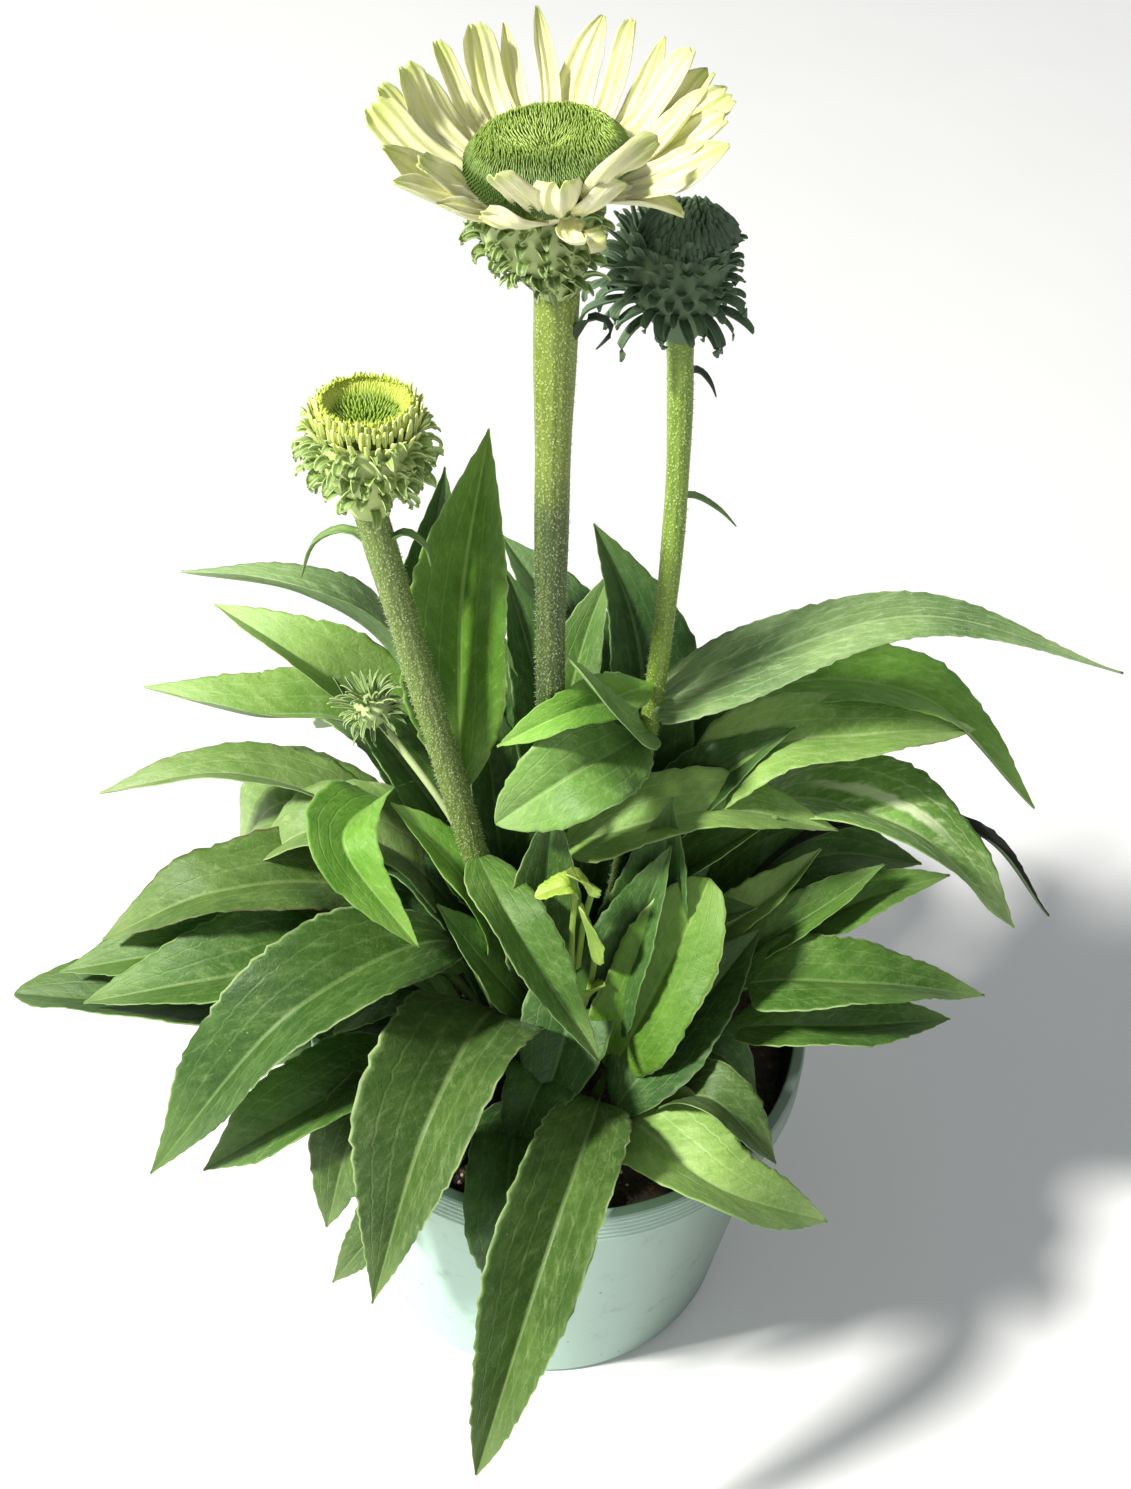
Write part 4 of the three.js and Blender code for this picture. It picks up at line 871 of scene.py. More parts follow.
def grow_leaf(growth, points, heading, width, bare, fold, roll, seed, stalk_half=1.6, stalk_thick=2.6,
              shape=usual_outline):
    """One leaf along its rib: a channelled stalk, then a folded and gently waved blade with small teeth.
    bare is the stalk's share of the length, fold the rise of each half in degrees, roll the blade's turn."""
    rng = random.Random(seed)
    length = through(points, 2)[2]
    blade_steps = int(min(84, max(40, length * (1 - bare) / 1.6)))
    stalk_steps = max(3, int(12 * bare + 2))
    t = np.concatenate([np.linspace(0, bare, stalk_steps, endpoint=False), np.linspace(bare, 1, blade_steps)])
    centre, along, _ = through(points, t)
    s = np.clip((t - bare) / (1 - bare), 0, 1)
    opened = np.clip(3 * s, 0, 1)
    level = np.cross(vec(0, 0, 1), heading)
    across = unit(level - along * (along @ level)[:, None])
    out = np.cross(along, across)
    lean = np.radians(roll) * opened + np.radians(rng.uniform(-7, 7)) * np.sin(3 * s)
    lean = lean[:, None]
    across, out = across * np.cos(lean) + out * np.sin(lean), out * np.cos(lean) - across * np.sin(lean)
    teeth = max(8, round(length * (1 - bare) / rng.uniform(5.2, 7.2)))
    saw = (s * teeth + rng.random()) % 1
    bite = np.where(saw < 0.8, saw / 0.8, (1 - saw) / 0.2) - 0.5
    outline = blade_outline(s, *shape)
    half = (width / 2) * outline * (1 + 0.035 * np.sin(s * 15 + rng.uniform(0, 6)))
    keen = 1 + 0.55 * np.sin(s * 41 + rng.uniform(0, 6))
    half = half + (0.35 + width / 75) * bite * keen * outline ** 0.5 * (s > 0.08)
    half = np.maximum(half, stalk_half + (0.35 - stalk_half) * s)
    x = places_across(23)
    ax = np.abs(x)[None, :]
    rise = half * opened * math.tan(math.radians(fold))
    height = rise[:, None] * ax ** 1.25
    height = height + (opened * half * 0.07)[:, None] * np.sin(np.pi * ax)
    phases = [rng.uniform(0, 6.28) for _ in range(4)]
    for side, phase, quick in ((x > 0, phases[0], phases[1]), (x < 0, phases[2], phases[3])):
        lift = 0.035 * width * outline * np.sin(phase + 9 * s)
        lift = lift + 0.018 * width * outline * np.sin(quick + 23 * s)
        height = height + np.where(side[None, :], lift[:, None] * ax ** 1.8, 0)
    quilt = np.cos(2 * np.pi * (11 * s[:, None] - 2.2 * ax)) * np.sin(np.pi * ax ** 0.8)
    height = height + 0.09 * (outline ** 0.5)[:, None] * quilt
    groove = np.exp(-(ax * half[:, None] / 0.9) ** 2)
    height = height - (0.55 * opened * (1 - 0.6 * s))[:, None] * groove
    height = height + (stalk_thick / 2 * (1 - opened))[:, None]
    rib_thick = (1.0 * (1 - s) + 0.15)[:, None] * np.exp(-(ax * half[:, None] / 1.5) ** 2)
    leaf_thick = 0.42 + 0.16 * (1 - s)[:, None] + rib_thick
    leaf_thick = leaf_thick * (1 - 0.55 * ax ** 6)
    leaf_thick = np.minimum(leaf_thick, 0.25 + 1.6 * half[:, None])
    stalk_body = stalk_thick * np.sqrt(np.clip(1 - ax ** 2, 0.02, 1)) + 0 * s[:, None]
    thick = leaf_thick * opened[:, None] + stalk_body * (1 - opened)[:, None]
    verts, faces, places, under = thin_body(centre, across, out, half, height, thick, s)
    growth.add(verts, faces, places, under, rng.random())


def level_way(a, b):
    d = vec(*b) - vec(*a)
    return unit(vec(d[0], d[1], 0))


for number, (foot, base, middle, tip, width, bare, fold, roll, skin) in enumerate(LEAVES, 1):
    start = vec(*foot, soil_top + 1.3)
    growth = Growth()
    grow_leaf(growth, [start, base, middle, tip], level_way(base, tip), width, bare, fold, roll, 100 + number,
              shape=ODD_OUTLINES.get(number, usual_outline))
    buried = [vec(*foot, soil_top - 6), start - (0, 0, 2), start + (0, 0, 0.6)]
    growth.add(*tube(buried, [1.5, 1.7, 1.5], 12))
    name = f"rosette_leaf_{number:02d}"
    belongs(set_up(name, growth.mesh(name, leaf_skins[skin])), "leaf_green", f"leaf_{number:02d}")


# ---------------------------------------------------------------- leaves on the stems
# Stalkless leaves that clasp a stem. They are like the rosette's, with a shorter foot.
# Rows: the stem, the share of its height, the blade's middle and tip, width, bare share, fold, roll, finish
# and outline.
STEM_LEAVES = [
    ("left", 0.5, (-37, 26, 268), (-31, 32, 325), 31, 0.06, 38, 0, "grass", (0.7, 1.0)),
    ("left", 0.42, (-15, -22, 183), (13, -44, 150), 19, 0.03, 30, -4, "mid", (0.45, 0.9)),
    ("right", 0.46, (96, 42, 263), (164, 43, 246), 25, 0.0, 14, 32, "grey", (0.15, 1.25)),
    ("main", 0.3, (42, 13, 205), (84, 22, 191), 29, 0.04, 24, 6, "light", (0.5, 1.0)),
    ("right", 0.42, (-1, -6, 234), (-23, -10, 215), 29, 0.06, 20, -30, "fresh", (0.7, 0.8)),
    ("right", 0.49, (-6, 0, 251), (-24, 0, 237), 15, 0.06, 22, -24, "bright", (0.5, 1.0)),
    ("right", 0.42, (13, 5, 246), (-6, 8, 268), 14, 0.0, 18, -30, "fresh", (0.3, 0.9)),
]
for number, (on, share, middle, tip, width, bare, fold, roll, skin, shape) in enumerate(STEM_LEAVES, 1):
    start = stem_point(STEMS[on], share)
    growth = Growth()
    grow_leaf(growth, [start, middle, tip], level_way(start, tip), width, bare, fold, roll, 150 + number,
              shape=shape)
    name = f"clasping_leaf_{number}"
    belongs(set_up(name, growth.mesh(name, leaf_skins[skin])), "leaf_green", f"stem_leaf_{number}")


# ---------------------------------------------------------------- low leaves
# Shorter leaves low in the crown, which close the gaps between the long ones and shade the mix. Most wear the
# darkest greens, which are partly painted shade for the inside of the crown. Their stalks stand in the mix
# like the others'.
# Rows: foot in the mix, base, middle and tip of the blade, width, bare share, fold, roll, finish.
LOW_LEAVES = [
    ((22, 2), (40, 6, 131), (58, 12, 138), (78, 20, 127), 27, 0.3, 16, 0, "deep"),
    ((17, 12), (32, 22, 138), (46, 34, 148), (60, 50, 140), 27, 0.3, 16, 0, "mid"),
    ((8, 18), (14, 36, 142), (20, 52, 152), (26, 74, 140), 27, 0.3, 16, 0, "mid"),
    ((-6, 16), (-12, 36, 140), (-16, 52, 150), (-24, 72, 138), 27, 0.3, 16, 0, "mid"),
    ((-14, 12), (-28, 26, 142), (-40, 38, 154), (-54, 54, 146), 28, 0.3, 16, 0, "deep"),
    ((-22, 6), (-40, 14, 134), (-56, 20, 144), (-74, 26, 134), 28, 0.3, 16, 0, "deep"),
    ((-20, -3), (-38, -6, 130), (-54, -12, 138), (-72, -22, 126), 28, 0.3, 16, 0, "deep"),
    ((-14, -14), (-28, -24, 126), (-40, -34, 134), (-56, -48, 118), 24, 0.3, 14, 0, "deep"),
    ((-6, 8), (-24, 14, 160), (-36, 18, 178), (-46, 22, 192), 24, 0.4, 18, 0, "deep"),
    ((4, 12), (4, 24, 164), (2, 32, 186), (-2, 38, 208), 24, 0.4, 18, 0, "deep"),
    ((10, 10), (26, 22, 162), (36, 30, 180), (46, 38, 194), 25, 0.4, 18, 0, "deep"),
    ((12, 2), (30, 2, 150), (44, 2, 166), (60, 4, 172), 24, 0.4, 18, 0, "deep"),
    ((0, -10), (-14, -14, 140), (-26, -14, 160), (-40, -8, 176), 22, 0.4, 18, 0, "mid"),
    ((8, -12), (18, -10, 142), (28, -4, 160), (36, 4, 178), 22, 0.4, 18, 0, "deep"),
    ((4, -22), (-2, -34, 128), (-6, -48, 134), (-12, -62, 118), 22, 0.3, 14, 0, "deep"),
    ((26, -16), (38, -20, 126), (52, -24, 132), (66, -30, 118), 24, 0.3, 14, 0, "deep"),
    ((-8, 10), (-23, 20, 177), (-27, 28, 202), (-33, 36, 232), 27, 0.35, 24, 0, "deep"),
    ((0, 16), (-11, 45, 208), (-19, 58, 230), (-27, 66, 252), 28, 0.4, 24, 0, "deep"),
    ((-3, -9), (-6, -9, 165), (-7, -5, 191), (-6, 2, 216), 25, 0.3, 24, 0, "forest"),
    ((12, -4), (24, -6, 159), (28, -1, 186), (29, 5, 216), 29, 0.3, 26, 0, "deep"),
    ((10, -20), (16, -22, 153), (23, -11, 179), (30, -3, 204), 24, 0.3, 28, 0, "deep"),
    ((-14, -1), (-27, -3, 172), (-41, 3, 189), (-56, 8, 203), 23, 0.4, 24, 0, "bright"),
    ((-20, 8), (-50, 12, 172), (-77, 14, 184), (-106, 12, 163), 33, 0.35, 26, 0, "pale"),
    ((-10, 12), (-37, 17, 180), (-56, 28, 203), (-77, 38, 226), 30, 0.35, 28, 0, "forest"),
    ((12, 10), (28, 20, 183), (45, 26, 206), (66, 31, 225), 29, 0.4, 24, 0, "deep"),
    ((16, 4), (22, 8, 163), (41, 10, 186), (63, 14, 203), 27, 0.3, 26, 0, "mid"),
    ((4, 14), (-4, 46, 210), (0, 60, 232), (6, 70, 250), 26, 0.4, 26, 0, "mid"),
    ((12, 18), (25, 42, 180), (38, 56, 205), (66, 68, 218), 34, 0.35, 22, 10, "deep"),
    ((21, 9), (56, 26, 152), (84, 35, 166), (118, 42, 158), 32, 0.35, 22, 10, "forest"),
    ((-15, 4), (-34, 8, 152), (-50, 13, 170), (-68, 17, 168), 28, 0.35, 20, -8, "deep"),
    ((-20, -8), (-42, -14, 124), (-64, -18, 126), (-92, -24, 110), 24, 0.3, 16, 0, "deep"),
    ((8, 18), (20, 52, 206), (14, 66, 236), (0, 78, 262), 38, 0.35, 26, 0, "deep"),
    ((-6, 12), (-22, 36, 194), (-24, 44, 214), (-25, 50, 236), 22, 0.35, 22, 0, "deep"),
    ((4, -14), (4, -22, 148), (1, -34, 138), (-6, -54, 119), 30, 0.2, 14, 0, "deep"),
]
for number, (foot, base, middle, tip, width, bare, fold, roll, skin) in enumerate(LOW_LEAVES, 1):
    growth = Growth()
    start = (*foot, soil_top - 5)
    grow_leaf(growth, [start, base, middle, tip], level_way(base, tip), width, bare, fold, roll, 200 + number,
              stalk_half=1.4, stalk_thick=2.2)
    name = f"low_leaf_{number:02d}"
    belongs(set_up(name, growth.mesh(name, leaf_skins[skin])), "leaf_green")


# ---------------------------------------------------------------- young leaves
# Soft yellow-green leaves that are still coming up in the middle of the plant, from one crown.
# Rows: foot in the mix, base, middle and tip of the blade, width, bare share, fold.
YOUNG_LEAVES = [
    ((4, -16), (2, -19, 178), (0, -21, 203), (-10, -22, 198), 9, 0.84, 12),
    ((4, -16), (5, -18, 182), (6, -20, 203), (-1, -22, 209), 9, 0.86, 12),
    ((4, -16), (9, -21, 160), (9, -22, 178), (4, -23, 196), 14, 0.72, 12),
    ((4, -16), (7, -22, 148), (9, -25, 160), (13, -27, 166), 10, 0.66, 16),
    ((6, -16), (9, -17, 126), (16, -17, 138), (26, -14, 147), 10, 0.4, 18),
]
young_skin = leaf_finish("leaf_young", (0.22, 0.38, 0.030), (0.38, 0.54, 0.06), (0.52, 0.64, 0.18),
                         (0.44, 0.56, 0.14))
growth = Growth()
for number, (foot, base, middle, tip, width, bare, fold) in enumerate(YOUNG_LEAVES):
    start = (*foot, soil_top - 4)
    grow_leaf(growth, [start, base, middle, tip], level_way(base, tip), width, bare, fold, 0, 170 + number,
              stalk_half=0.9, stalk_thick=1.6, shape=(0.5, 0.6))
belongs(set_up("young_shoot", growth.mesh("young_shoot", young_skin)), "young_leaf", "young_leaves")


# ---------------------------------------------------------------- bracts of the open bloom
# The green cup under the flower: a fleshy cone that widens from the stem and bulges to the left, clad in rows
# of short bracts that curl at their tips every way, with paler edges. The lowest ones run down to the stem.
HEAD_CORES = {
    "main": [(5.0, 0), (6.2, 4), (9.5, 9), (12.5, 14), (14, 20), (13.5, 27)],
    "right": [(4, 0), (6.5, 4), (10.5, 9), (14, 16), (14.2, 24), (12.5, 30)],
    "left": [(5.2, 0), (6.5, 4), (9, 8), (13, 13), (14.3, 20), (12.5, 26.5)],
}
# Rows: height on the head, radius, how many, length, half width, first slope, last slope.
BRACT_ROWS = {
    "main": [(2, 5.0, 9, 8, 1.3, 62, 50), (6, 6.8, 12, 7.5, 1.4, 40, -40), (10, 9.4, 15, 6.5, 1.5, 35, -70),
             (13.5, 11.6, 18, 6, 1.5, 35, -85), (17, 12.8, 20, 6, 1.5, 40, -95),
             (20.5, 13.2, 20, 6, 1.5, 45, -90), (24, 13.0, 20, 6, 1.4, 45, -75),
             (27, 12.8, 18, 6, 1.3, 45, -30)],
    "right": [(9, 9, 8, 11, 1.9, -10, -88), (12, 11.2, 13, 10.5, 1.7, 0, -80),
              (14.5, 12.6, 16, 8, 1.5, 15, -60), (17.5, 13.2, 20, 6.5, 1.4, 25, -40),
              (20.5, 13.4, 22, 6, 1.4, 32, -15), (23.5, 13.0, 22, 6, 1.4, 42, 5),
              (26.5, 12.4, 20, 6, 1.4, 52, 25), (29, 11.0, 18, 5.5, 1.3, 65, 45)],
    "left": [(5, 6.0, 5, 8, 1.9, 10, -85), (11, 10.5, 16, 7, 1.6, 25, -95), (14, 12.4, 19, 7, 1.6, 30, -100),
             (17, 13.4, 21, 7, 1.5, 35, -95), (20, 13.8, 22, 7, 1.5, 40, -85),
             (22.5, 13.4, 22, 7, 1.4, 45, -70), (25, 13.0, 22, 6.5, 1.3, 55, -40)],
}
CUP_BULGE = {"main": -4.4, "right": -2.6, "left": 0}


def smooth_core(core, steps=26):
    """The core's profile with many more steps and its corners rounded, closed at both ends."""
    r = [p[0] for p in core]
    z = [p[1] for p in core]
    run = np.concatenate([[0], np.cumsum(np.hypot(np.diff(r), np.diff(z)))])
    s = np.linspace(0, run[-1], steps)
    rr, zz = np.interp(s, run, r), np.interp(s, run, z)
    for _ in range(2):
        rr[1:-1], zz[1:-1] = (rr[:-2] + 2 * rr[1:-1] + rr[2:]) / 4, (zz[:-2] + 2 * zz[1:-1] + zz[2:]) / 4
    return [(0, zz[0])] + list(zip(rr.tolist(), zz.tolist())) + [(0, zz[-1])]


def polar(r, bearing, z):
    return vec(r * math.cos(math.radians(bearing)), r * math.sin(math.radians(bearing)), z)


def curled_bract(growth, rng, r, z, bearing, length, half, first, last, twist, blunt):
    """A bract that leaves the cup at the first slope, curls over to the last and turns a little sideways."""
    drift = rng.uniform(-28, 28)
    steps = 5
    points = [polar(r, bearing, z)]
    for k in range(steps):
        share = (k + 0.5) / steps
        rise = first + (last - first) * share ** 1.4 - 25 * max(0, share - 0.7) / 0.3 * rng.random()
        step = polar(math.cos(math.radians(rise)), bearing + drift * share, math.sin(math.radians(rise)))
        points.append(points[-1] + step * length / steps)
    hint = unit(vec(-math.cos(math.radians(bearing)) * 0.3, -math.sin(math.radians(bearing)) * 0.3, 1))
    small_bract(growth, points, half, cup=rng.uniform(0.25, 0.75), thick=0.75, own=rng.random(), up_hint=hint,
                twist=rng.uniform(-twist, twist), blunt=blunt)


def clad_cup(core, rows, seed, twist, bulge, blunt, left_extra=0.0):
    """The fleshy core of a head in its rows of curled bracts, its upper part set sideways by the bulge. With
    left_extra the bracts grow longer towards the left."""
    rng = random.Random(seed)
    growth = Growth()
    verts, faces = turned(smooth_core(core), 40)
    growth.add(np.array(verts) * 1000, faces, own=0.2)
    for z, r, count, length, half, first, last in rows:
        offset = rng.uniform(0, 360)
        for k in range(count):
            height, bearing = z + rng.uniform(-1.2, 1.2), offset + 360 * (k + rng.uniform(-0.2, 0.2)) / count
            extra = 1 + left_extra * max(0.0, -math.cos(math.radians(bearing - 10))) ** 3
            curled_bract(growth, rng, r, height, bearing, length * rng.uniform(0.7, 1.2) * extra,
                         half * rng.uniform(0.75, 1.2), first + rng.uniform(-14, 14),
                         last + rng.uniform(-35, 35), twist, blunt)
    for verts in growth.verts:
        verts[:, 0] += bulge * np.clip(verts[:, 2] / 16, 0, 1) ** 1.5
    return growth


def bract_finish(name, dark, light, edge, rough=0.5):
    """Bract skin: mottled green, each bract its own share of it, with a pale rib, edge and tip."""
    f = Finish(name, rough, Subsurface_Weight=0.08, Subsurface_Radius=(0.6, 1.0, 0.3), Subsurface_Scale=0.001)
    across, run = f.blade_place()
    side = f.off_rib(across)
    colour = f.blend(f.rise(f.cloud(160, 4), 0.30, 0.68), dark, light)
    colour = f.blend(f.times(f.carried("own"), 0.45), colour, light)
    colour = f.blend(f.times(f.line(side, 0.0, 0.05, 0.22), 0.4), colour, edge)
    colour = f.blend(f.times(f.rise(side, 0.70, 0.97), 0.8), colour, edge)
    colour = f.blend(f.times(f.rise(run, 0.75, 1.0), 0.35), colour, edge)
    f.coloured(colour)
    f.bumped(f.cloud(900, 3), 0.2, 0.7)
    return f.material


def spin_to(lean):
    """The turn from upright to a lean in X and Y."""
    return np.array(Vector((0, 0, 1)).rotation_difference(Vector((*lean, 1)).normalized()).to_matrix())


def on_head(growth, stem_name, face=False):
    """Sets the shapes of a head on the top of its stem, turned to the way the head leans. The bloom's face,
    its rays and disc, leans further to the left, about a point in the middle of the disc."""
    if face:
        pivot = vec(0, 0, face_pivot)
        back = spin_to(HEAD_LEANS[stem_name]).T @ spin_to(face_lean)
        growth.verts = [(v - pivot) @ back.T + pivot + face_shift for v in growth.verts]
    axis = np.array(Vector((*HEAD_LEANS[stem_name], 1)).normalized())
    spin = spin_to(HEAD_LEANS[stem_name])
    growth.verts = [v @ spin.T + vec(*STEMS[stem_name]["top"]) + axis * 0.3 for v in growth.verts]
    return growth


face_lean, face_pivot, face_shift = (-0.16, -0.05), 31, vec(-1, 0, -0.5)
cup_skin = bract_finish("bloom_bract_skin", (0.040, 0.085, 0.020), (0.17, 0.26, 0.065), (0.46, 0.56, 0.22))
bloom_cup = clad_cup(HEAD_CORES["main"], BRACT_ROWS["main"], seed=301, twist=1.2, bulge=CUP_BULGE["main"],
                     blunt=0.35)
on_head(bloom_cup, "main")
belongs(set_up("bloom_cup", bloom_cup.mesh("bloom_cup", cup_skin)), "bract_green", "bloom_bracts")


# ---------------------------------------------------------------- rays of the open bloom
# Twenty-eight thin cream-white ray flowers, each on a narrow claw, pleated along its length, with green
# streaks and a greenish tip. The back ones stand up, the left ones lie over each other like a fan, and the
# front ones are short and stand against the disc or curl down.
# Rows: bearing of the foot, then radius, bearing and height on the head of the middle and of the tip, the
# widest half width, how hollow, and the end: 0 notched, 1 pointed, 2 blunt.
RAYS = [
    (156, (29, 157, 40), (35, 156, 56), 3.3, 0.3, 0), (162, (30, 163, 37.5), (41, 160, 51.5), 3.4, 0.2, 2),
    (172, (29, 173, 37), (41, 168, 50), 3.9, 0.25, 0), (145, (28, 146, 38), (34, 146, 51), 2.5, 0.4, 1),
    (132, (29, 133, 39), (39, 132, 54), 2.3, 0.45, 2), (118, (29, 119, 40), (35.5, 118, 56.5), 3.6, 0.3, 2),
    (106, (28, 107, 40), (38, 106, 53.5), 2.1, 0.5, 1), (92, (27.5, 90, 41.5), (34.5, 93, 58), 2.1, 0.4, 1),
    (72, (28, 77, 39.5), (35.5, 67, 55), 4.1, 0.25, 1), (53, (27, 55, 41), (34.5, 52, 56), 2.5, 0.5, 2),
    (42, (29, 42, 39), (38, 42, 52), 2.6, 0.3, 1), (30, (28.5, 31, 39), (40, 30, 51), 3.4, 0.35, 2),
    (25, (30.5, 24, 36), (43, 26, 46), 3.5, 0.45, 0), (15, (30, 15, 36), (45, 16, 43), 4.0, 0.3, 0),
    (7, (28, 8, 38), (38, 7, 49), 3.0, 0.5, 1), (0, (29, 1, 35), (42, 0, 44), 3.4, 0.4, 0),
    (348, (29, 350, 33), (43, 350, 41), 4.2, 0.2, 1), (192, (27, 195, 37), (37, 196, 48.5), 3.9, 0.3, 1),
    (210, (26, 212, 36), (38, 211, 45), 3.7, 0.3, 1), (200, (22, 202, 36), (30, 201, 45), 3.3, 0.3, 0),
    (222, (22, 224, 33), (31, 220, 39), 3.1, 0.25, 1),
    (265, (22.5, 256, 41), (26, 249, 47.5), 3.9, 0.3, 2), (268, (21, 250, 32), (24, 233, 35), 3.0, 0.3, 0),
    (283, (22.3, 281, 37), (24.3, 282, 44), 4.4, 0.6, 0), (288, (21.5, 288, 28), (23, 307, 28), 2.8, 0.5, 2),
    (294, (23, 303, 35), (26, 318, 39), 2.8, 0.7, 2), (303, (24.5, 312, 42), (29, 338, 45.5), 3.4, 0.3, 2),
    (326, (24, 344, 28), (32, 346, 24), 3.2, 0.45, 1),
]
ray_foot, ray_level, ray_fullness, ray_stations, ray_places = 14.5, 29.5, 1.24, 34, 19
cream = Finish("cream_ray", 0.5, Subsurface_Weight=0.30, Subsurface_Radius=(1.0, 1.0, 0.6),
               Subsurface_Scale=0.0015, Sheen_Weight=0.15)
across, run = cream.blade_place()
own = cream.carried("own")
fibre = cream.add("ShaderNodeCombineXYZ", {"X": cream.times(across, 9.0), "Y": cream.times(run, 1.4),
                                           "Z": cream.times(own, 37.0)}).outputs["Vector"]
streak = cream.cloud(1.6, 3, fibre)
fine = cream.cloud(6.0, 2, fibre)
colour = cream.blend(fine, (0.76, 0.74, 0.38), (0.86, 0.845, 0.55))
green_share = cream.times(cream.rise(streak, 0.46, 0.62), 0.70)
colour = cream.blend(green_share, colour, (0.70, 0.74, 0.20))
shaded_side = cream.rise(cream.cloud(2.2, 2, fibre), 0.55, 0.72)
colour = cream.blend(cream.times(shaded_side, 0.35), colour, (0.52, 0.54, 0.40))
towards_tip = cream.maths("ADD", run, cream.times(own, 0.10))
tip_share = cream.times(cream.rise(towards_tip, 0.80, 1.05), 0.7)
colour = cream.blend(tip_share, colour, (0.46, 0.56, 0.12))
margin = cream.rise(cream.off_rib(across), 0.88, 1.0)
colour = cream.blend(cream.times(margin, 0.35), colour, (0.42, 0.33, 0.30))
cream.coloured(colour)
cream.bumped(cream.maths("ADD", fine, streak), 0.25, 0.6)

growth = Growth()
rng = random.Random(401)
widths_along = [0, 0.12, 0.30, 0.55, 0.78, 0.92, 1]
ray_widths = {0: [0.40, 0.58, 0.88, 1.0, 1.0, 0.88, 0.62], 1: [0.40, 0.58, 0.90, 1.0, 0.82, 0.46, 0.14],
              2: [0.42, 0.60, 0.90, 1.0, 0.96, 0.82, 0.50]}
notch_depths = {0: 1.5, 1: 0.3, 2: 0.8}
s = np.linspace(0, 1, ray_stations)
x = places_across(ray_places)
round_x = np.concatenate([x, x[::-1]])
for number, (bearing, middle, tip, wide, hollow, end) in enumerate(RAYS):
    foot = polar(ray_foot, bearing, ray_level + (0.5 if number % 2 else -0.5))
    centre, along, _ = through([foot, polar(*middle), polar(*tip)], ray_stations)
    across = unit(np.cross(vec(0, 0, 1), polar(1, middle[1], 0)))
    across = unit(across - along * (along @ across)[:, None])
    out = np.cross(along, across)
    facing = vec(0, -0.75, 0.55) * (0.0 if 230 < bearing < 340 else 1.0)
    out = unit(out + facing - along * (along @ facing)[:, None])
    across = np.cross(out, along)
    twist = np.radians(rng.uniform(-20, 20)) * s
    across, out = (across * np.cos(twist)[:, None] + out * np.sin(twist)[:, None],
                   out * np.cos(twist)[:, None] - across * np.sin(twist)[:, None])
    half = ray_fullness * wide * np.interp(s, widths_along, ray_widths[end])
    half = half * (1 + 0.05 * np.sin(s * 11 + rng.uniform(0, 6)))
    height = half[:, None] * hollow * np.abs(x)[None, :] ** 1.7
    pleat = np.cos(3 * np.pi * x + rng.uniform(-0.8, 0.8))
    height = height - 0.36 * pleat[None, :] * np.clip(3 * s, 0, 1)[:, None] * (half / 3.5)[:, None]
    for side in (1, -1):
        lift = 0.45 * np.sin(s * rng.uniform(7, 11) + rng.uniform(0, 6)) * s
        height = height + np.where(x * side > 0, 1, 0)[None, :] * lift[:, None] * np.abs(x)[None, :] ** 2
    thick = np.broadcast_to((0.58 - 0.28 * s)[:, None], height.shape)
    verts, faces, places, under = thin_body(centre, across, out, half, height, thick, s)
    # small teeth at the tip: the last stations are drawn back between them
    lobes = rng.choice((2, 2, 3))
    rings = verts.reshape(ray_stations, 2 * ray_places, 3)
    for i in range(ray_stations - 3, ray_stations):
        back = (i - ray_stations + 4) / 3
        notch = (1 - np.abs(np.sin(lobes * np.pi * (round_x + 1) / 2))) * back * notch_depths[end]
        rings[i] -= along[i] * notch[:, None]
    growth.add(verts, faces, places, under, rng.random())
# the low drum in which the claws of the rays are seated
verts, faces = turned([(0, 28), (14, 28), (15, 29.5), (14.5, 31), (0, 31)], 48)
growth.add(np.array(verts) * 1000, faces, np.broadcast_to((0.5, 0.1), (len(verts), 2)))
on_head(growth, "main", face=True)
ray_flowers = set_up("bloom_ray_flowers", growth.mesh("bloom_ray_flowers", cream.material))
belongs(ray_flowers, "ray_cream", "bloom_rays")


# ---------------------------------------------------------------- discs of florets
# The bloom's broad flat-topped cone, and the discs of the two heads still opening: pointed green florets set
# in crossing spirals, golden angle by golden angle, and smaller towards the middle.
DISC_PROFILES = {
    "main": [(0.3, 40.6), (1.5, 40.4), (3, 40.8), (5, 41.8), (8, 42.6), (13, 42.8), (16.8, 41.8),
             (18.8, 39.8), (19.2, 37.2), (18, 34.2), (15.6, 31.4), (13, 29.5)],
    "right": [(0.3, 35.4), (1.5, 35.4), (7, 35), (11.2, 33.6), (12.4, 31), (11.4, 29.3)],
    "left": [(0.3, 28.0), (1.5, 28.0), (5, 28.4), (8.4, 30.0), (11.0, 32.6), (12.4, 33.2), (12.8, 31.3)],
}
golden_angle, sway = math.radians(137.50776), 0.09
spiral = Tree("golden_spiral", Floret=("Object", None), Count=("Int", 900), Small=("Float", 0.6),
              Ragged=("Float", 0.2), Seed=("Int", 1), Material=("Material", None))
row_of = spiral.add("GeometryNodePoints", {"Count": spiral.given("Count")})
index = spiral.add("GeometryNodeInputIndex", {}).outputs["Index"]
place = spiral.maths("SQRT", spiral.maths("DIVIDE", spiral.maths("ADD", index, 0.5), spiral.given("Count")))
profile = spiral.add("GeometryNodeMeshToCurve", {"Mesh": spiral.given("Geometry")})
sample = spiral.add("GeometryNodeSampleCurve", {"Curves": profile.outputs["Curve"], "Factor": place},
                    mode="FACTOR", use_all_curves=True)
around = spiral.add("ShaderNodeCombineXYZ", {"Z": spiral.maths("MULTIPLY", index, golden_angle)})


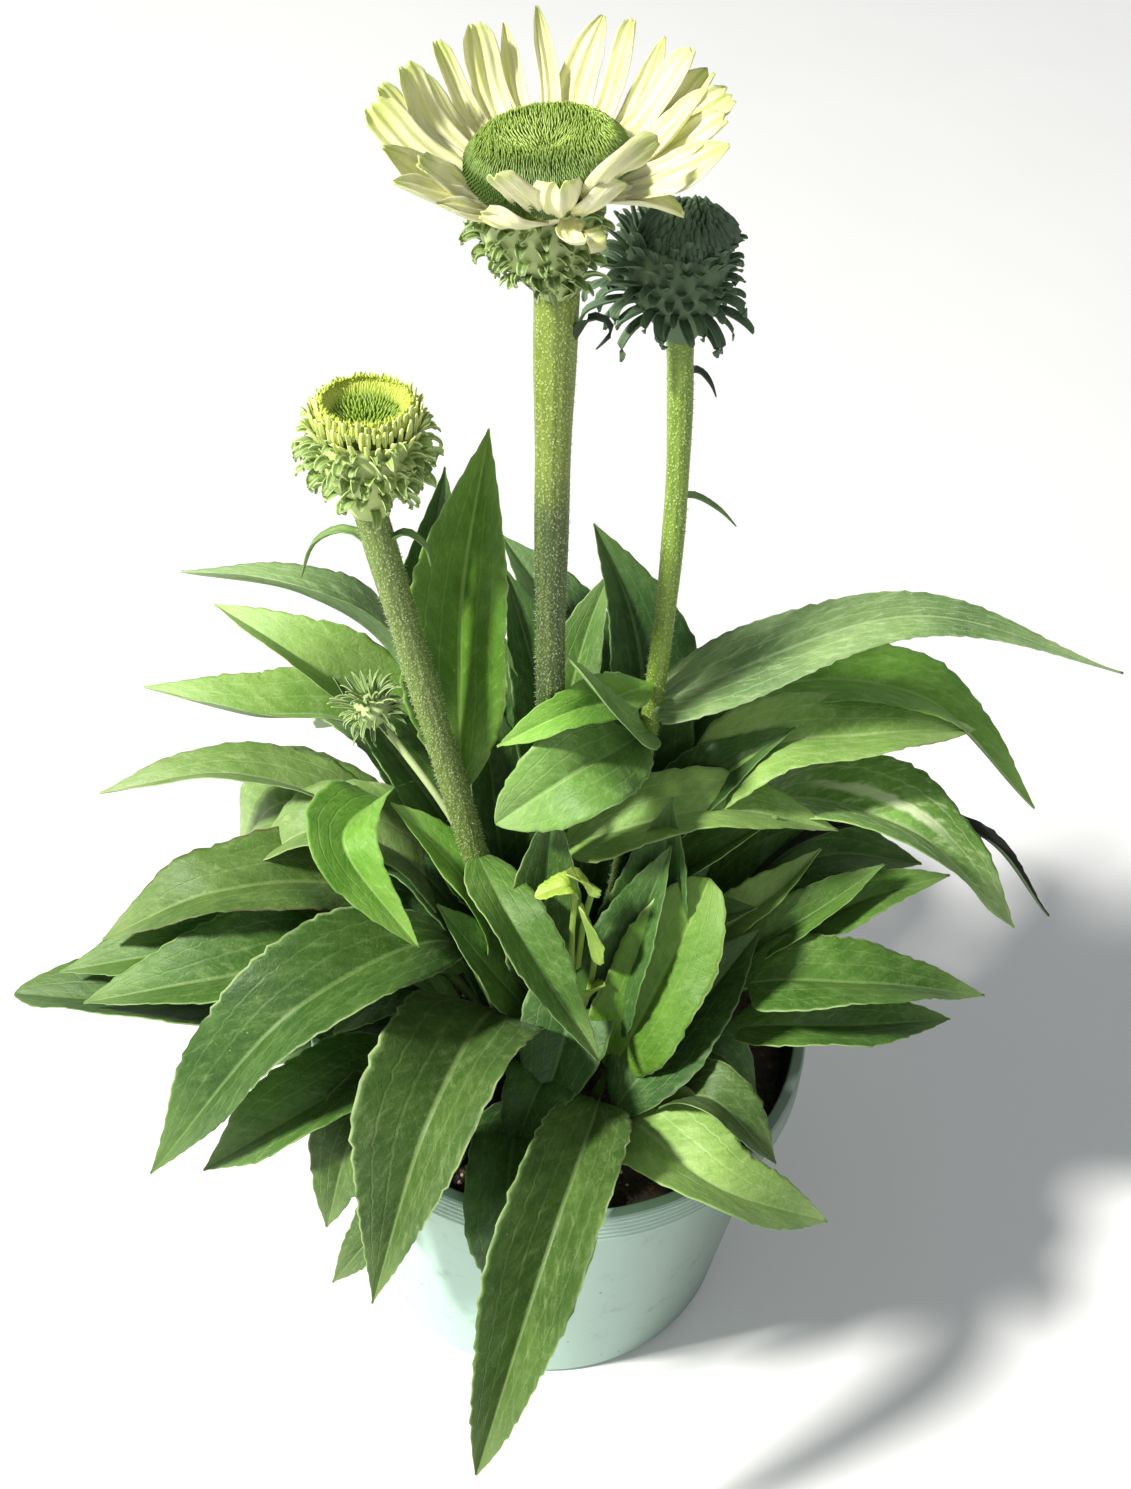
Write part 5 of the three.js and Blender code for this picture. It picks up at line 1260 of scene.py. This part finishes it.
def turned_about(vector):
    turn = spiral.add("ShaderNodeVectorRotate", {"Vector": vector, "Rotation": around.outputs["Vector"]},
                      rotation_type="EULER_XYZ")
    return turn.outputs["Vector"]


outward = spiral.vectors("CROSS_PRODUCT", sample.outputs["Tangent"], (0.0, 1.0, 0.0))
outward = spiral.vectors("MULTIPLY", outward, (-1.0, -1.0, -1.0))
placed = spiral.add("GeometryNodeSetPosition", {"Geometry": row_of.outputs["Points"],
                                                "Position": turned_about(sample.outputs["Position"])})
leaning = spiral.vectors("ADD", turned_about(outward), (0.0, 0.0, 1.5))
swayed = spiral.add("ShaderNodeCombineXYZ", {
    axis: spiral.random(-sway, sway, shift, spiral.given("Seed"))
    for axis, shift in (("X", 21), ("Y", 23), ("Z", 25))})
leaning = spiral.vectors("ADD", leaning, swayed.outputs["Vector"])
facing = spiral.add("FunctionNodeAlignRotationToVector", {"Vector": leaning}, axis="Z")
size = spiral.add("ShaderNodeMapRange", {"Value": place, "To Min": spiral.given("Small"), "To Max": 1.0})
smallest = spiral.maths("SUBTRACT", 1.0, spiral.given("Ragged"))
largest = spiral.maths("ADD", 1.0, spiral.given("Ragged"))
uneven = spiral.random(smallest, largest, 3, spiral.given("Seed"))
size = spiral.maths("MULTIPLY", size.outputs["Result"], uneven)
bud_shape = spiral.add("GeometryNodeObjectInfo", {"Object": spiral.given("Floret")})
set_out = spiral.add("GeometryNodeInstanceOnPoints", {
    "Points": placed.outputs["Geometry"], "Instance": bud_shape.outputs["Geometry"],
    "Rotation": facing.outputs["Rotation"], "Scale": size})
told = spiral.add("GeometryNodeStoreNamedAttribute", {
    "Geometry": set_out.outputs["Instances"], "Name": "shade", "Value": place},
    data_type="FLOAT", domain="INSTANCE")
spiral.finish(told.outputs["Geometry"])


def floret_shape(wide, tall, sides, waist=0.75):
    """A pointed floret that carries its own height, from 0 at the foot to 1 at the point."""
    verts, shares = [], []
    for share, r in ((-0.35, 0.8), (0.25, 1.0), (0.62, waist)):
        for k in range(sides):
            a = 2 * math.pi * k / sides
            verts.append((wide / 2 * r * math.cos(a), wide / 2 * r * math.sin(a), tall * share))
            shares.append(max(0.0, share))
    verts.append((0, 0, tall))
    shares.append(1.0)
    rim = 2 * sides
    faces = skin_faces(3, sides) + [[rim + j, rim + (j + 1) % sides, rim + sides] for j in range(sides)]
    faces.append(list(range(sides))[::-1])
    mesh = plain_mesh("floret", np.array(verts) / 1000, faces)
    mesh.attributes.new("height", "FLOAT", "POINT").data.foreach_set("value", shares)
    return set_up("floret", mesh)


def floret_finish(name, gap, body, point, middle, rim, painted_shade_front=None):
    """Dark between the florets, body colour up their sides, lighter points, its own colours for the middle of
    the disc and for the side below its rim; the last argument gives where, in Y, the disc's front begins and
    ends to turn darker, which is painted shade."""
    f = Finish(name, 0.45, Subsurface_Weight=0.10, Subsurface_Radius=(0.6, 1.0, 0.3), Subsurface_Scale=0.0008)
    height, place = f.carried("height"), f.carried("shade")
    body_colour = f.blend(f.rise(place, 0.08, 0.42), middle, body)
    body_colour = f.blend(f.times(f.cloud(120), 0.4), body_colour, point)
    colour = f.blend(f.rise(height, 0.02, 0.55), gap, body_colour)
    colour = f.blend(f.rise(height, 0.62, 1.0), colour, point)
    dulled = f.times(f.rise(place, 0.46, 0.68), 0.88)
    # Painted shade: the front of the disc, towards -Y, is darkened as if turned away from the light.
    if painted_shade_front:
        front = f.rest(f.rise(f.place_xyz()["Y"], painted_shade_front[1] / 1000, painted_shade_front[0] / 1000))
        dulled = f.maths("MAXIMUM", dulled, f.times(front, 0.62))
    f.coloured(f.blend(dulled, colour, rim))
    f.bumped(f.cloud(1200, 2), 0.1, 0.5)
    return f.material


def floret_disc(name, stem_name, count, wide, tall, small, ragged, seed, skin, slot, node, sides=4):
    """The florets of one head's disc, each that wide and tall, and the fleshy disc that they stand in.
    small is the size of those in the middle, and ragged how far the sizes differ."""
    profile_points = DISC_PROFILES[stem_name]
    edges = [(k, k + 1) for k in range(len(profile_points) - 1)]
    line = bpy.data.meshes.new("profile")
    line.from_pydata([(r / 1000, 0, z / 1000) for r, z in profile_points], edges, [])
    disc = set_up("profile", line)
    floret = floret_shape(wide, tall, sides)
    spiral.used_on(disc, Floret=floret, Count=count, Small=small, Ragged=ragged, Seed=seed, Material=skin)
    bpy.data.objects.remove(floret)
    places = np.zeros(len(disc.data.vertices) * 3)
    disc.data.vertices.foreach_get("co", places)
    florets = Growth()
    florets.verts = [places.reshape(-1, 3) * 1000]
    on_head(florets, stem_name, face=stem_name == "main")
    disc.data.vertices.foreach_set("co", (florets.verts[0] / 1000).ravel())
    disc.data.update()
    disc.name = disc.data.name = name
    belongs(disc, slot, node)
    shrunk = [(max(0.0, r - 0.8), z - 0.7) for r, z in reversed(profile_points)]
    floor_z = min(z for r, z in shrunk) - 1.5
    body = [(0, floor_z), (shrunk[0][0] - 0.5, floor_z)] + shrunk[:-1] + [(0, shrunk[-1][1])]
    verts, faces = turned(body, 48)
    flesh = Growth()
    flesh.add(np.array(verts) * 1000, faces)
    on_head(flesh, stem_name, face=stem_name == "main")
    belongs(set_up(name + "_base", flesh.mesh(name + "_base", disc_base.material)), slot)


disc_base = Finish("disc_base", 0.7)
disc_base.coloured(disc_base.blend(disc_base.cloud(300), (0.02, 0.06, 0.012), (0.05, 0.12, 0.02)))
# The bloom's disc is painted darker at its front, as shade.
bloom_florets = floret_finish("bloom_floret", gap=(0.15, 0.26, 0.032), body=(0.26, 0.40, 0.055),
                              point=(0.46, 0.60, 0.14), middle=(0.52, 0.66, 0.17), rim=(0.085, 0.155, 0.032),
                              painted_shade_front=(6, -10))
floret_disc("bloom_disc", "main", count=5000, wide=0.62, tall=2.3, small=0.8, ragged=0.20, seed=31,
            skin=bloom_florets, slot="cone_green", node="bloom_cone", sides=3)


# ---------------------------------------------------------------- dark head
# The head on the right-hand stem is still closed, with stubby florets on top and long drooping bracts like
# fingers below them. It is coloured very dark green as painted shade, for the bloom's shadow that lies over
# it.
# Painted shade: the bracts' dark greens stand for the bloom's shadow over this head.
shaded_head_skin = bract_finish("dark_bract_skin", (0.042, 0.082, 0.040), (0.095, 0.160, 0.085),
                         (0.13, 0.20, 0.105), 0.75)
dark_cup = clad_cup(HEAD_CORES["right"], BRACT_ROWS["right"], seed=302, twist=0.3, bulge=CUP_BULGE["right"],
                    blunt=0.8, left_extra=0.75)
on_head(dark_cup, "right")
belongs(set_up("dark_cup", dark_cup.mesh("dark_cup", shaded_head_skin)), "dark_bract", "dark_head")
# Painted shade: the florets are as dark as the bracts, for the same shadow.
shaded_head_florets = floret_finish("dark_floret", gap=(0.024, 0.050, 0.024), body=(0.070, 0.125, 0.062),
                             point=(0.115, 0.180, 0.090), middle=(0.085, 0.140, 0.068),
                             rim=(0.060, 0.110, 0.055))
floret_disc("dark_disc", "right", count=230, wide=2.3, tall=4.0, small=0.8, ragged=0.3, seed=32,
            skin=shaded_head_florets, slot="dark_cone", node="dark_head_disc", sides=6)


# ---------------------------------------------------------------- pale head
# The head on the left-hand stem is opening: a hollow green disc with a rim of pale yellow ray buds, over
# dense light green bracts that curl every way.
pale_skin = bract_finish("pale_bract_skin", (0.095, 0.18, 0.040), (0.31, 0.44, 0.125), (0.55, 0.65, 0.25))
pale_cup = clad_cup(HEAD_CORES["left"], BRACT_ROWS["left"], seed=303, twist=1.3, bulge=CUP_BULGE["left"],
                    blunt=0.3)
on_head(pale_cup, "left")
belongs(set_up("pale_cup", pale_cup.mesh("pale_cup", pale_skin)), "pale_bract", "pale_head")
pale_florets = floret_finish("pale_floret", gap=(0.050, 0.11, 0.012), body=(0.19, 0.32, 0.030),
                             point=(0.40, 0.53, 0.07), middle=(0.17, 0.30, 0.02), rim=(0.50, 0.58, 0.08))
floret_disc("pale_disc", "left", count=900, wide=0.95, tall=2.6, small=0.75, ragged=0.2, seed=33,
            skin=pale_florets, slot="cone_green", node="pale_head_disc")

ray_bud_skin = bract_finish("ray_bud_skin", (0.34, 0.46, 0.06), (0.60, 0.68, 0.16), (0.86, 0.88, 0.48))
rng = random.Random(305)
growth = Growth()
# Rows: radius, height on the head, how many, length, first slope, last slope.
for ring_r, ring_z, count, tall, first, last in (
    (12.6, 29.5, 44, 5.6, 80, 95),
    (13.4, 28.0, 40, 6.0, 70, 84),
    (13.6, 26.0, 34, 5.4, 55, 60),
):
    for k in range(count):
        z = ring_z + rng.uniform(-0.5, 0.5)
        bearing = 360 * (k + rng.uniform(-0.3, 0.3)) / count
        curled_bract(growth, rng, ring_r, z, bearing, tall * rng.uniform(0.75, 1.15),
                     0.75 * rng.uniform(0.85, 1.2), first, last + rng.uniform(-14, 14), twist=0.4, blunt=0.8)
on_head(growth, "left")
belongs(set_up("pale_ray_buds", growth.mesh("pale_ray_buds", ray_bud_skin)), "pale_bract")


# ---------------------------------------------------------------- side bud
# A small bud on a thin stalk from the left-hand stem: a little cup of narrow pale bracts that stand open.
bud_start = stem_point(STEMS["left"], 0.4)
bud_steps, bud_lean = 24, (-0.5, 0.2)
bud_path, _, _ = through([bud_start, (-41, 10, 203), (-55, 20, 216), (-61, 23, 222)], bud_steps)
bud_growth = Growth()
bud_growth.add(*tube(bud_path, np.full(bud_steps, 1.2), 14))
bud_cup = clad_cup([(2, 0), (5.5, 2.5), (6.5, 6.5), (4.5, 10)],
                   [(2.5, 3.0, 12, 8.5, 0.8, -5, -75), (4.5, 4.0, 15, 8.5, 0.75, 15, -50),
                    (6.5, 4.5, 16, 8.5, 0.7, 35, -25), (8.5, 4.0, 16, 8.5, 0.7, 55, 0),
                    (10, 2.5, 12, 7.5, 0.7, 75, 35)], seed=304, twist=0.6, bulge=0.0, blunt=0.1)
bud_axis = np.array(Vector((*bud_lean, 1)).normalized())
bud_seat = bud_path[-1] - bud_axis * 0.6
bud_cup.verts = [verts @ spin_to(bud_lean).T + bud_seat for verts in bud_cup.verts]
bud_growth.take_in(bud_cup)
bud_skin = bract_finish("side_bud_skin", (0.045, 0.105, 0.025), (0.19, 0.31, 0.080), (0.52, 0.62, 0.28))
belongs(set_up("opening_side_bud", bud_growth.mesh("opening_side_bud", bud_skin)), "pale_bract", "side_bud")


# ---------------------------------------------------------------- sizes
low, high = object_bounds()
